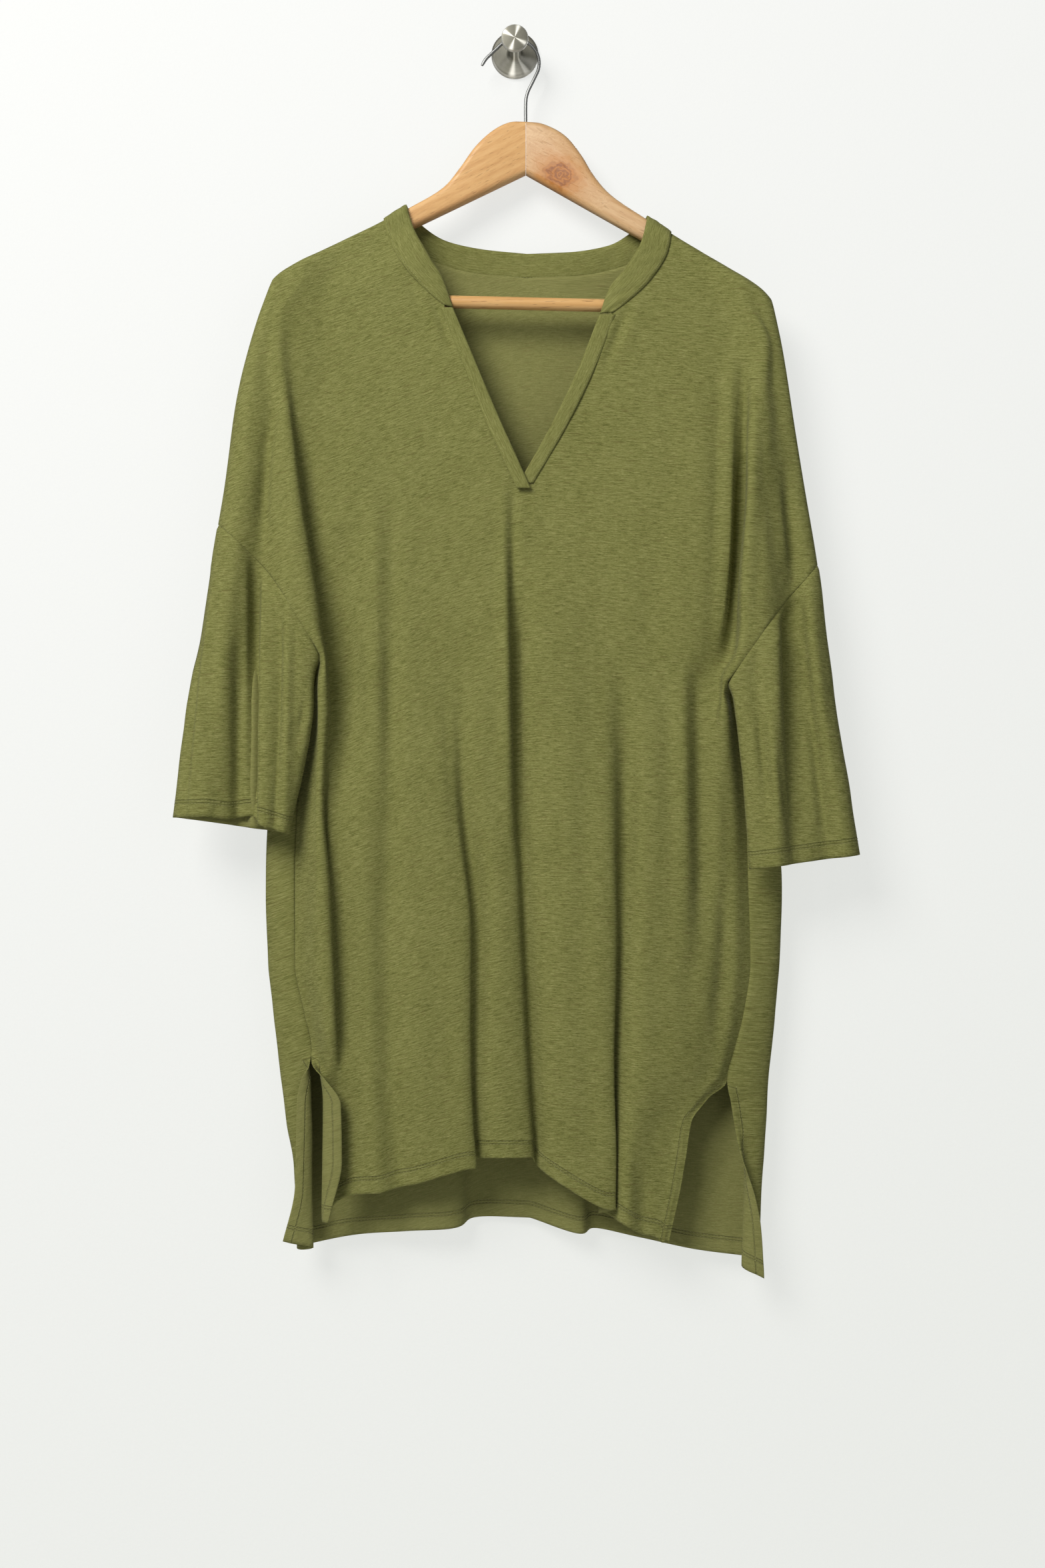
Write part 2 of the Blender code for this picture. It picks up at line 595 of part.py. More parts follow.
def upper_front_row(side, t):
    """Knots of one half of the front above the armpits, from its outer to its inner edge."""
    ox, od, oz = outer_edge(side, t, back=False)
    ix, iz = front_inner_edge(side, t)
    neck = neck_edge(FRONT_NECK[side], 0.0)

    def height(x):
        return seam_line(side, t, (ox, oz), (ix, iz), neck, x)

    def plain(x, z):
        return chest_depth(side, x, z)

    crest_z = oz
    for _ in range(4):
        crest_z = height(side_fold(side, crest_z)[0])
    folded = side_fold_knots(side, crest_z, ox, height, plain)
    top, top_depth = folded[0]
    knots = [(ox, od, oz)]
    settle = ease((t - 0.85) / 0.15)
    for part in ARM_COLUMNS[1:]:
        x = lerp(ox, top, part)
        depth = lerp(front_arm_depth(side, x, height(x)), lerp(od, top_depth, quarter(part)), settle)
        knots.append((x, depth, height(x)))
    knots += [(x, depth, height(x)) for x, depth in folded]
    foot_x = folded[-1][0]
    lower_foot = side_fold(side, ARMPIT_ROW + ROW_TILT * CORNER[side].armpit_x)[3]
    middle = fold_reach(CENTRE, ARMPIT_ROW)
    for index, (reach, _, _) in enumerate(skirt_knots(side, ARMPIT_ROW)):
        part = (reach - lower_foot) / (middle - lower_foot)
        x = lerp(foot_x, ix, part)
        z = height(x)
        knots.append((x, chest_depth(side, x, z) + skirt_knots(side, z)[index][1], z))
    knots[-1] = (ix, knots[-1][1], iz)
    return knots


def turned_margin(index, edge, edge_depth, turn, turn_depth):
    """A margin from its free edge to the line where it turns; a wide one turns in a round loop."""
    back = 1.0 - FLAP_COLUMNS[index]
    rise = lerp(math.sin(back * math.pi / 2), quarter(back), ease((abs(edge - turn) - 4.0) / 6.0))
    return lerp(turn, edge, back), lerp(turn_depth, edge_depth, rise)


def margin_column(index, part, side, edge_z, top, top_depth):
    """Reach and depth of a column beside the front's slit, where the margin may turn over."""
    table = FRONT_SLIT[side]
    edge, edge_depth, turn, turn_depth = (
        at_height(table, edge_z, c) for c in ("edge", "edge_depth", "turn", "turn_depth"))
    if index < len(FLAP_COLUMNS):
        return turned_margin(index, edge, edge_depth, turn, turn_depth)
    share = (part - ARM_COLUMNS[3]) / (1.0 - ARM_COLUMNS[3])
    settle = ease(share) if top_depth > turn_depth else quarter(share)
    return lerp(turn, top, share), lerp(turn_depth, top_depth, settle)


def lower_front_row(side, t):
    """Knots of one half of the front from the armpits to the hem."""
    hems = SIDE_HEM[side]

    def height(x):
        return row_height(t, x, hems.top)

    def plain(x, z):
        return at_height(CHEST, z, "depth")

    edge_z = row_height(t, CORNER[side].armpit_x, hems.edge)
    edge_x = at_height(FLANK[side], edge_z, "seam")
    edge_z = row_height(t, edge_x, hems.edge)
    edge_depth = at_height(FLANK[side], edge_z, "seam_depth")
    outside = edge_x if t <= ROW_SLIT else at_height(FRONT_SLIT[side], edge_z, "turn")
    crest_z = row_height(t, side_fold(side, edge_z)[0], hems.top)
    folded = side_fold_knots(side, crest_z, outside, height, plain)
    top, top_depth = folded[0]
    knots = []
    for index, part in enumerate(ARM_COLUMNS):
        x = lerp(edge_x, top, part)
        depth = lerp(edge_depth, top_depth, lerp(quarter(part), ease(part), ease((t - 1.0) / 0.03)))
        if t > ROW_SLIT:
            margin = margin_column(index, part, side, edge_z, top, top_depth)
            settle = ease((t - ROW_SLIT) / 0.12)
            x, depth = lerp(x, margin[0], settle), lerp(depth, margin[1], settle)
        knots.append((x, depth, row_height(t, x, hems.edge)))
    for (x, depth), hem in zip(folded, hems[1:]):
        knots.append((x, depth, row_height(t, x, hem)))
    for index, (reach, _, hem) in enumerate(skirt_knots(side, ARMPIT_ROW)):
        z = row_height(t, reach, hem)
        for _ in range(2):
            x, swell, _ = skirt_knots(side, z)[index]
            z = row_height(t, x, hem)
        knots.append((x, at_height(CHEST, z, "depth") + swell, z))
    return knots


def front_row(side, t):
    return upper_front_row(side, t) if t < ROW_ARMPIT else lower_front_row(side, t)


# Rows of the back

def wrap_point(q, seam, outline, far):
    """Round the side of the body: from the seam, q = 0, over the outline to the back, q = 1."""
    if q <= 0.5:
        turn = q * math.pi
        return lerp(seam[0], outline[0], math.sin(turn)), lerp(outline[1], seam[1], math.cos(turn))
    turn = (q - 0.5) * math.pi
    return lerp(outline[0], far[0], 1.0 - math.cos(turn)), lerp(outline[1], far[1], math.sin(turn))


def upper_back_row(side, t):
    """Knots of one half of the back above the armpits, from its outer edge to the middle."""
    ox, od, oz = outer_edge(side, t, back=True)
    ix, iz = back_inner_edge(side, t)
    neck = neck_edge(BACK_NECK[side], 0.0)

    def height(x):
        return seam_line(side, t, (ox, oz), (ix, iz), neck, x)

    armpit = CORNER[side].armpit_x
    shares = [(line.top_reach - armpit) / (BACK_CENTRE.top_reach - armpit) for line in BACK_LINES[side]]
    knots = [(ox, od, oz)]
    for part in WRAP_COLUMNS[1:]:
        x = lerp(ox, lerp(ox, ix, shares[0]), part)
        share = lerp(1.0, ease(part / 0.6), ease((t - ROW_BUST) / 0.06))
        knots.append((x, lerp(od, back_arm_depth(side, x, height(x)), share), height(x)))
    for share in shares:
        x = lerp(ox, ix, share)
        knots.append((x, back_arm_depth(side, x, height(x)), height(x)))
    knots.append((ix, back_arm_depth(side, ix, iz), iz))
    return knots


def lower_back_row(side, t):
    """Knots of one half of the back from the armpits to the hem, from the side seam to the middle."""
    lines = BACK_LINES[side]
    hem_edge, hem_wrap = BACK_HEM_SIDE[side]
    down = (t - ROW_ARMPIT) / (ROW_HEM - ROW_ARMPIT)
    edge_z = row_height(t, CORNER[side].armpit_x, hem_edge)
    edge_x = at_height(FLANK[side], edge_z, "seam")
    edge_z = row_height(t, edge_x, hem_edge)
    seam = (edge_x, at_height(FLANK[side], edge_z, "seam_depth"))
    outline = (at_height(FLANK[side], edge_z, "outline"), at_height(FLANK[side], edge_z, "outline_depth"))
    line_x = lerp(lines[0].top_reach, lines[0].hem_reach, down)
    line_depth = lerp(lines[0].top_depth, lines[0].hem_depth, ease(down))
    far = (lerp(outline[0], line_x, 0.45), line_depth)
    knots = []
    for index, (even, tight) in enumerate(zip(WRAP_COLUMNS, WRAP_AT_SLIT)):
        q = lerp(even, tight, ease((t - 1.3) / 0.6))
        x, depth = wrap_point(q, seam, outline, far)
        hem = lerp(hem_edge, hem_wrap, min(1.0, index / 4))
        if t > ROW_SLIT:
            edge, edge_depth, turn, turn_depth = (
                at_height(BACK_SLIT[side], edge_z, c) for c in ("edge", "edge_depth", "turn", "turn_depth"))
            if index < len(FLAP_COLUMNS):
                margin = turned_margin(index, edge, edge_depth, turn, turn_depth)
            else:
                margin = wrap_point(q, (turn, turn_depth), outline, far)
            settle = ease((t - ROW_SLIT) / 0.12)
            x, depth = lerp(x, margin[0], settle), lerp(depth, margin[1], settle)
        knots.append((x, depth, row_height(t, x, hem)))
    for line in lines + (BACK_CENTRE,):
        x = lerp(line.top_reach, line.hem_reach, down)
        knots.append((x, lerp(line.top_depth, line.hem_depth, ease(down)), row_height(t, x, line.hem)))
    return knots


def back_row(side, t):
    return upper_back_row(side, t) if t < ROW_ARMPIT else lower_back_row(side, t)


# Sleeves

def sleeve_point(side, u, v, back):
    """Point of a sleeve: u from its outline to its inner edge, v from the armhole to the cuff."""
    corner = CORNER[side]
    outer_z = lerp(corner.dropped, CUFF_OUTER[side], v)
    inner_z = lerp(corner.armpit_height, CUFF_INNER[side], v)
    inner_x = at_height(ARM[side], inner_z, "inner")
    x = lerp(at_height(ARM[side], outer_z, "outline"), inner_x, u)
    z = lerp(outer_z, inner_z, u) + SEAM_ARCH[side] * math.sin(math.pi * u) * (1.0 - v)
    if not back:
        return x, front_sleeve_depth(side, x, z, inner_x), z
    outline = at_height(ARM[side], z, "outline")
    edge, layer = at_height(ARM[side], z, "edge"), at_height(ARM[side], z, "back")
    depth = lerp(edge, layer, quarter(abs(x - outline) / 16.0))
    depth = lerp(depth, BACK_AT_UNDERARM, ease((u - 0.3) / 0.5))
    depth = lerp(UNDERARM_DEPTH, depth, quarter(abs(x - inner_x) / 12.0))
    seam_depth = armhole(side, u, back=True)[1]
    return x, lerp(seam_depth, depth, ease(v / 0.5)), z


def sleeve_ring(side, v):
    ring = [sleeve_point(side, u, v, back=False) for u in SLEEVE_FRONT]
    return ring + [sleeve_point(side, u, v, back=True) for u in SLEEVE_BACK]


# Bands

def lifted(side, x, depth, z, lift, back):
    """Move a point of a panel out from its face by a lift."""
    q = max(0.0, 1.0 - below_shoulder(side, x, z) / SHOULDER_ROUND)
    away = math.sqrt(1.0 - q * q)
    return x, depth + lift * (-away if back else away), z + lift * q


def collar_section(side, along, back):
    """Seam edge, middle and free edge of the collar band at a place along the neck."""
    rows = BACK_NECK[side] if back else FRONT_NECK[side]
    points = []
    for share in (0.0, 0.5, 1.0):
        x = lerp(neck_at(rows, along, "reach"), neck_at(rows, along, "free_reach"), share)
        z = lerp(neck_at(rows, along, "height"), neck_at(rows, along, "free_height"), share)
        if along == 0.0:
            points.append((x, arm_depth(x), z + BAND_LIFT))
            continue
        depth = back_arm_depth(side, x, z) if back else chest_depth(side, x, z) - 3.0 * share * share * along
        points.append(lifted(side, x, depth, z, BAND_LIFT, back))
    return points


COLLAR_STATIONS = (0.0, 0.015, 0.035, 0.06, 0.1, 0.16, 0.25, 0.37, 0.5, 0.63, 0.76, 0.88, 1.0)


def collar_rows():
    rows = [collar_section(-1, along, back=False) for along in COLLAR_STATIONS[::-1]]
    rows += [collar_section(-1, along, back=True) for along in COLLAR_STATIONS[1:]]
    rows += [collar_section(1, along, back=True) for along in COLLAR_STATIONS[-2::-1]]
    rows += [collar_section(1, along, back=False) for along in COLLAR_STATIONS[1:]]
    return rows


def placket_rows(side, steps=11):
    table = PLACKET[side]
    rows = []
    for step in range(steps):
        z = lerp(table[0].height, table[-1].height, step / (steps - 1))
        lift = PLACKET_LIFT + (PLACKET_LAP * ease((-340.0 - z) / 30.0) if side < 0 else 0.0)
        seam, free = at_height(table, z, "seam"), at_height(table, z, "free")
        rows.append([(x, chest_depth(side, x, z) + lift, z) for x in (seam, lerp(seam, free, 0.5), free)])
    return rows


# Meshes

def world(point):
    x, depth, z = point
    return x * MM, -depth * MM, z * MM


def colour_object(obj, key):
    colour, roughness, metallic = COLOURS[key]
    material = bpy.data.materials.new(obj.name + "_" + key)
    material.use_nodes = True
    surface = material.node_tree.nodes["Principled BSDF"]
    surface.inputs["Base Color"].default_value = colour
    surface.inputs["Roughness"].default_value = roughness
    surface.inputs["Metallic"].default_value = metallic
    material.diffuse_color = colour
    obj.data.materials.append(material)


def mesh_object(name, vertices, faces, colour, thickness=0.0):
    mesh = bpy.data.meshes.new(name)
    mesh.from_pydata([world(v) for v in vertices], [], faces)
    for polygon in mesh.polygons:
        polygon.use_smooth = thickness > 0.0
    obj = bpy.data.objects.new(name, mesh)
    bpy.data.collections[PART].objects.link(obj)
    if thickness:
        shell = obj.modifiers.new("Cloth", "SOLIDIFY")
        shell.thickness = thickness * MM
        shell.offset = 0.0
        shell.use_even_offset = False
    colour_object(obj, colour)
    return obj


def pull_in(edge, beside, distance):
    """Move an edge point towards its neighbour, which leaves the gap of a seam."""
    length = max(0.01, math.dist(edge, beside))
    return blend(edge, beside, min(0.6, distance / length))


def two_halves(name, right, left, join_from):
    """A panel of two halves; from the mark join_from down they share their middle column."""
    vertices, faces, index = [], [], {}

    def vertex(key, point):
        if key not in index:
            index[key] = len(vertices)
            vertices.append(point)
        return index[key]

    for side, half in ((-1, right), (1, left)):
        last = len(half[0]) - 1
        grid = []
        for r, row in enumerate(half):
            line = []
            for c, point in enumerate(row):
                shared = c == last and PANEL_ROWS[r] >= join_from
                line.append(vertex(("middle", r) if shared else (side, r, c), point))
            grid.append(line)
        for r in range(len(grid) - 1):
            for c in range(last):
                a, b, d, e = grid[r][c], grid[r][c + 1], grid[r + 1][c + 1], grid[r + 1][c]
                faces.append((a, e, d, b) if side < 0 else (a, b, d, e))
    return mesh_object(name, vertices, faces, "cloth", CLOTH_THICKNESS)


def panel_half(row_function, side, counts):
    half = [curve_through(row_function(side, t), counts) for t in PANEL_ROWS]
    for r, t in enumerate(PANEL_ROWS):
        if t <= ROW_SLIT:
            half[r][0] = pull_in(half[r][0], half[r][1], SEAM_PULL)
    half[0] = [pull_in(a, b, SEAM_PULL) for a, b in zip(half[0], half[1])]
    half[0][0] = pull_in(half[0][0], half[1][1], 2 * SEAM_PULL)
    return half


def front_counts(side):
    start = [1] * len(ARM_COLUMNS) + [1, 1, 1, 2]
    if side < 0:
        return start + [1, 1, 1, 2, 2, 1, 1, 2, 2, 2]
    return start + [3, 2, 1, 1, 2, 4, 2, 2]


def back_counts():
    return [1] * len(WRAP_COLUMNS) + [2, 2, 1, 2]


def band(name, rows):
    width = len(rows[0])
    vertices = [point for row in rows for point in row]
    faces = []
    for r in range(len(rows) - 1):
        for c in range(width - 1):
            a = r * width + c
            faces.append((a, a + width, a + width + 1, a + 1))
    return mesh_object(name, vertices, faces, "cloth", BAND_THICKNESS)


def sleeve(name, side):
    rings = [sleeve_ring(side, v) for v in SLEEVE_ROWS]
    count = len(rings[0])
    armpit = len(SLEEVE_FRONT) - 1
    first = []
    for i, (a, b) in enumerate(zip(rings[0], rings[1])):
        near = max(0.0, 1.0 - abs(i - armpit) / 3.0)
        first.append(pull_in(a, b, SEAM_PULL + UNDERARM_EASE * near))
    rings[0] = first
    vertices = [point for ring in rings for point in ring]
    faces = []
    for r in range(len(rings) - 1):
        for c in range(count):
            a, b = r * count + c, r * count + (c + 1) % count
            faces.append((a, a + count, b + count, b) if side < 0 else (a, b, b + count, a + count))
    return mesh_object(name, vertices, faces, "cloth", CLOTH_THICKNESS)


def loft(name, rings, colour):
    """A closed solid through rings of points, capped at both ends."""
    count = len(rings[0])
    vertices = [point for ring in rings for point in ring]
    faces = [tuple(range(count))]
    for r in range(len(rings) - 1):
        for c in range(count):
            a, b = r * count + c, r * count + (c + 1) % count
            faces.append((a, a + count, b + count, b))
    faces.append(tuple((len(rings) - 1) * count + c for c in range(count))[::-1])
    obj = mesh_object(name, vertices, faces, colour)
    work = bmesh.new()
    work.from_mesh(obj.data)
    bmesh.ops.recalc_face_normals(work, faces=work.faces)
    work.to_mesh(obj.data)
    work.free()
    return obj


# Hanger and knob

def inset_outline(points, distance, fixed):
    """The outline moved inward; the fixed points keep their reach."""
    area = sum(a[0] * b[1] - b[0] * a[1] for a, b in zip(points, points[1:] + points[:1]))
    turn = 1.0 if area > 0 else -1.0
    moved = []
    for i, here in enumerate(points):
        before, after = points[i - 1], points[(i + 1) % len(points)]
        nx = nz = 0.0
        for a, b in ((before, here), (here, after)):
            length = math.dist(a, b)
            nx -= (b[1] - a[1]) / length * turn
            nz += (b[0] - a[0]) / length * turn
        scale = distance * 2.0 / max(0.8, nx * nx + nz * nz)
        if i in fixed:
            moved.append((here[0], here[1] + (distance if nz > 0 else -distance)))
        else:
            moved.append((here[0] + nx * scale, here[1] + nz * scale))
    return moved


def hanger_arm(name, side, colour):
    mitre = MITRE_X + side * FIT_GAP / 2
    outline = [(mitre, MITRE_FOOT), (mitre, MITRE_TOP)] + [(p.reach, p.height) for p in HANGER_ARM[side]]
    rings = []
    for degrees in (90, 45, 0, -0.01, -45, -90):
        turn = math.radians(abs(degrees))
        across = ARM_THICKNESS / 2 - ARM_ROUNDING * (1.0 - math.sin(turn))
        ring = inset_outline(outline, ARM_ROUNDING * (1.0 - math.cos(turn)), fixed=(0, 1))
        rings.append([(x, arm_depth(x) + math.copysign(across, degrees), z) for x, z in ring])
    return loft(name, rings, colour)


def circle(count):
    for step in range(count):
        angle = 2 * math.pi * step / count
        yield math.cos(angle), math.sin(angle)


def hanger_bar(name, colour):
    rings = [[(end.reach, BAR_DEPTH + BAR_RADIUS * c, end.height + BAR_RADIUS * s) for c, s in circle(20)]
             for end in BAR_ENDS]
    return loft(name, rings, colour)


def hook_path():
    """Wire from its open end over the knob and down into the top of the hanger."""
    path = [(-30.2, -16.5), (-26.5, -10.5), (-22.0, -6.0)]
    for degrees in range(140, -31, -10):
        angle = math.radians(degrees)
        path.append((HOOK_CENTRE_X + HOOK_RADIUS * math.cos(angle), HOOK_CENTRE_Z + HOOK_RADIUS * math.sin(angle)))
    path += [(15.6, -33.0), (12.4, -39.5), (10.6, -45.5), (10.0, -52.0), (10.0, MITRE_TOP + FIT_GAP)]
    return path


def wire_hook(name, colour):
    path = hook_path()
    rings = []
    for i, (x, z) in enumerate(path):
        before, after = path[max(0, i - 1)], path[min(len(path) - 1, i + 1)]
        length = math.dist(before, after)
        tx, tz = (after[0] - before[0]) / length, (after[1] - before[1]) / length
        rings.append([(x - tz * WIRE_RADIUS * c, HOOK_DEPTH + WIRE_RADIUS * s, z + tx * WIRE_RADIUS * c)
                      for c, s in circle(8)])
    return loft(name, rings, colour)


def wall_knob(name, colour):
    rings = [[(ring.radius * c, ring.depth, ring.radius * s) for c, s in circle(40)] for ring in KNOB]
    return loft(name, rings, colour)


def main():
    for obj in list(bpy.data.objects):
        bpy.data.objects.remove(obj)
    collection = bpy.data.collections.new(PART)
    bpy.context.scene.collection.children.link(collection)
    two_halves("front", panel_half(front_row, -1, front_counts(-1)),
               panel_half(front_row, 1, front_counts(1)), ROW_BUST)
    two_halves("back", panel_half(back_row, -1, back_counts()),
               panel_half(back_row, 1, back_counts()), ROW_BACK_NECK)
    sleeve("sleeve_right", -1)
    sleeve("sleeve_left", 1)
    band("collar_band", collar_rows())
    band("placket_right", placket_rows(-1))
    band("placket_left", placket_rows(1))
    hanger_arm("hanger_arm_right", -1, "wood_right")
    hanger_arm("hanger_arm_left", 1, "wood_left")
    hanger_bar("hanger_bar", "wood_left")
    wire_hook("hanger_hook", "wire")
    wall_knob("wall_knob", "steel")


main()
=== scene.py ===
"""Looks of a knitted linen tunic blouse on a wooden hanger, hung from a round wall knob.

The cloth follows the same tables and sections as the part's solids, with finer steps, creases,
hems and sewing.
Tables are in millimetres: heights as Z, reaches as X, depths as the distance out from the wall.
Side -1 is the wearer's right (at -X) and side +1 the wearer's left.
"""

import math
from collections import namedtuple

import bpy
import bmesh
import numpy as np
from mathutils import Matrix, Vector, noise


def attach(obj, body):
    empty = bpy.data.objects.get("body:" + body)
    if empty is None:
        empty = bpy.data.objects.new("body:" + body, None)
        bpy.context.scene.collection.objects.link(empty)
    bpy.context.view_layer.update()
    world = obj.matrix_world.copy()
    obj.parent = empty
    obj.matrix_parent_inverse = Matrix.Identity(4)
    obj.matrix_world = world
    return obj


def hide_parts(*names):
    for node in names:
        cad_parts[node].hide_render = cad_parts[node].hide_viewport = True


MM = 0.001
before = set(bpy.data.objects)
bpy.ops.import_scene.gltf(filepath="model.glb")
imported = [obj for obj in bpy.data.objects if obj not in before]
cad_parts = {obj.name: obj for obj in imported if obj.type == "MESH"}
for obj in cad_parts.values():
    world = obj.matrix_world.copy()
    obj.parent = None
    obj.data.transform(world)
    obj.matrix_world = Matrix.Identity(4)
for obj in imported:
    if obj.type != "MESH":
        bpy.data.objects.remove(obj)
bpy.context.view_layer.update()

# Cloth: what of a panel lies under its band, and how it rounds and eases off the shoulder seam
BAND_OVERLAP = 2.0
SHOULDER_ROUND = 9.0
SHOULDER_EASE = 60.0

# Marks down the panels: collar end, bust with the dropped shoulder, armpit, slit, hem
ROW_COLLAR = 0.30
ROW_BACK_NECK = 0.23
ROW_BUST = 0.72
ROW_ARMPIT = 1.0
ROW_SLIT = 2.0
ROW_HEM = 3.0
PANEL_ROWS = (
    0.0, 0.006, 0.016, 0.034, 0.08, 0.15, 0.23, 0.3, 0.38, 0.47, 0.56, 0.64, 0.72, 0.755, 0.79,
    0.825, 0.86, 0.895, 0.93, 0.965, 1.0, 1.035, 1.1, 1.25, 1.45, 1.66, 1.85, 2.0, 2.035,
    2.07, 2.12, 2.26, 2.38, 2.5, 2.62, 2.8, 3.0,
)

# Columns across a panel's outer part: under the arm, in the slit's margin and round the side
ARM_COLUMNS = (0.0, 0.08, 0.2, 0.38, 0.58, 0.8)
FLAP_COLUMNS = (0.0, 0.35, 0.8, 1.0)
WRAP_COLUMNS = (0.0, 0.16, 0.32, 0.48, 0.62, 0.76, 0.9)
WRAP_AT_SLIT = (0.0, 0.02, 0.04, 0.06, 0.25, 0.45, 0.72)

# Hanger
ARM_THICKNESS = 13.0
ARM_ROUNDING = 5.0
ARM_DEPTH = 20.0
ARM_SWEEP = 0.123
CLOTH_OVER_ARM = 8.4
MITRE_X = 10.0
MITRE_TOP = -68.6
MITRE_FOOT = -116.6
FIT_GAP = 0.3
BAR_RADIUS = 5.7
BAR_DEPTH = 43.5
WIRE_RADIUS = 1.5
HOOK_DEPTH = 20.0
HOOK_RADIUS = 21.7
HOOK_CENTRE_X = 0.6
HOOK_CENTRE_Z = -14.4
HOOK_START = ((-30.2, -16.5), (-26.5, -10.5), (-22.0, -6.0))
HOOK_FOOT = ((15.6, -33.0), (12.4, -39.5), (10.6, -45.5), (10.0, -52.0))


def rows_of(kind, *rows):
    """A table of named rows."""
    return tuple(kind(*row) for row in rows)


# Arm of the blouse, from the shoulder to the cuff: lines down it, and their depths
Arm = namedtuple("Arm", "height outline valley inner edge outer dip crest back")
ARM = {
    -1: rows_of(
        Arm,
        (-220, -219, -210, -190, 48, 56, 56, 57, 40), (-257, -232, -220, -209, 48, 60, 59, 61, 38),
        (-330, -251, -219, -201, 48, 66, 60, 69, 36), (-410, -262, -221, -191, 49, 70, 60, 75, 36),
        (-480, -274, -227, -181, 50, 73, 60, 77, 38), (-559, -286, -235, -173, 51, 75, 61, 78, 44),
        (-575, -289, -237, -178, 51, 75, 61, 78, 45), (-620, -296.5, -241, -181, 52, 76, 62, 79, 47),
        (-718, -308, -244, -201, 54, 78, 64, 80, 49),
    ),
    1: rows_of(
        Arm,
        (-238, 232, 223, 204, 48, 56, 56, 57, 40), (-275, 240, 231, 221, 48, 56, 57, 61, 38),
        (-364, 254.5, 239, 211, 48, 56, 57, 72, 36), (-410, 262, 243, 206, 49, 57, 57, 75, 36),
        (-477, 273, 249, 203, 50, 60, 57, 77, 38), (-583, 286, 257, 190, 51, 68, 60, 78, 44),
        (-599, 288, 260, 195, 51, 69, 61, 78, 45), (-638, 294, 267, 200, 52, 71, 62, 79, 47),
        (-750, 311.5, 281, 209, 54, 74, 64, 80, 49),
    ),
}
UNDERARM_DEPTH = 70.0
BACK_AT_UNDERARM = 61.0
ARMHOLE_HOLLOW = 16.0
CUFF_OUTER = {-1: -704.0, 1: -737.0}
CUFF_INNER = {-1: -718.0, 1: -750.0}
SEAM_ARCH = {-1: 14.0, 1: 5.0}

# Corners of the cut: shoulder tip, dropped shoulder, armpit
Corner = namedtuple("Corner", "shoulder dropped armpit_x armpit_height")
CORNER = {
    -1: Corner(-220, -441, -173, -559),
    1: Corner(-238, -477, 190, -583),
}

# Shoulder seam, along the top of the hanger's arm
Shoulder = namedtuple("Shoulder", "reach height")
SHOULDER = {
    -1: rows_of(
        Shoulder,
        (-219, -220), (-211, -213), (-198, -205), (-156, -183), (-119, -163), (-98.5, -149.5), (-65, -129),
    ),
    1: rows_of(
        Shoulder,
        (87, -135.5), (120.5, -160), (142, -175), (165, -190), (199, -212), (221, -226.5), (232, -238),
    ),
}

# Neck seams of the front and back, and the free edge of the collar band beside them
Neck = namedtuple("Neck", "along reach height free_reach free_height")
FRONT_NECK = {
    -1: rows_of(
        Neck,
        (0.0, -119, -163, -98.5, -149), (0.25, -114, -182, -91, -173), (0.5, -102, -205, -77.5, -198),
        (0.75, -86, -224, -64.5, -219), (1.0, -65, -243, -55.5, -245),
    ),
    1: rows_of(
        Neck,
        (0.0, 142, -175, 120.5, -159), (0.25, 138, -194, 114, -185), (0.5, 125, -217, 100, -209),
        (0.75, 108, -235, 85, -228), (1.0, 89, -250, 76.5, -251),
    ),
}
BACK_NECK = {
    -1: rows_of(
        Neck,
        (0.0, -119, -163, -98.5, -149), (0.25, -104, -182, -84, -164), (0.5, -77, -196, -63, -176),
        (0.75, -38, -207, -29, -183), (1.0, 10, -211, 11, -186.5),
    ),
    1: rows_of(
        Neck,
        (0.0, 142, -175, 120.5, -159), (0.25, 127, -190, 106, -170), (0.5, 98, -202, 87, -180),
        (0.75, 58, -209.5, 51, -185.5), (1.0, 10, -211, 11, -186.5),
    ),
}

# V opening: the line where each placket band is sewn on, and its free edge
Placket = namedtuple("Placket", "height seam free")
PLACKET = {
    -1: rows_of(
        Placket,
        (-246, -66.5, -55.5), (-295, -47, -35), (-346, -27, -13.5), (-409, 2, 14.5),
    ),
    1: rows_of(
        Placket,
        (-252.5, 90.5, 76), (-303, 71, 56), (-352, 47, 32.5), (-404, 16.5, 3.5),
    ),
}
V_POINT_X = 8.0
V_POINT_HEIGHT = -398.0
PLACKET_LAP = 2.4

# Front of the body, how far it stands out from the wall
Chest = namedtuple("Chest", "height depth")
CHEST = rows_of(
    Chest,
    (-240, 52), (-400, 54), (-480, 57), (-571, 59), (-700, 60), (-930, 60), (-1085, 59),
)
BACK_DEPTH = 14.0

# The level rows hang lower on the wearer's left
ARMPIT_ROW = -571.0
SLIT_ROW = -927.0
ROW_TILT = -0.066

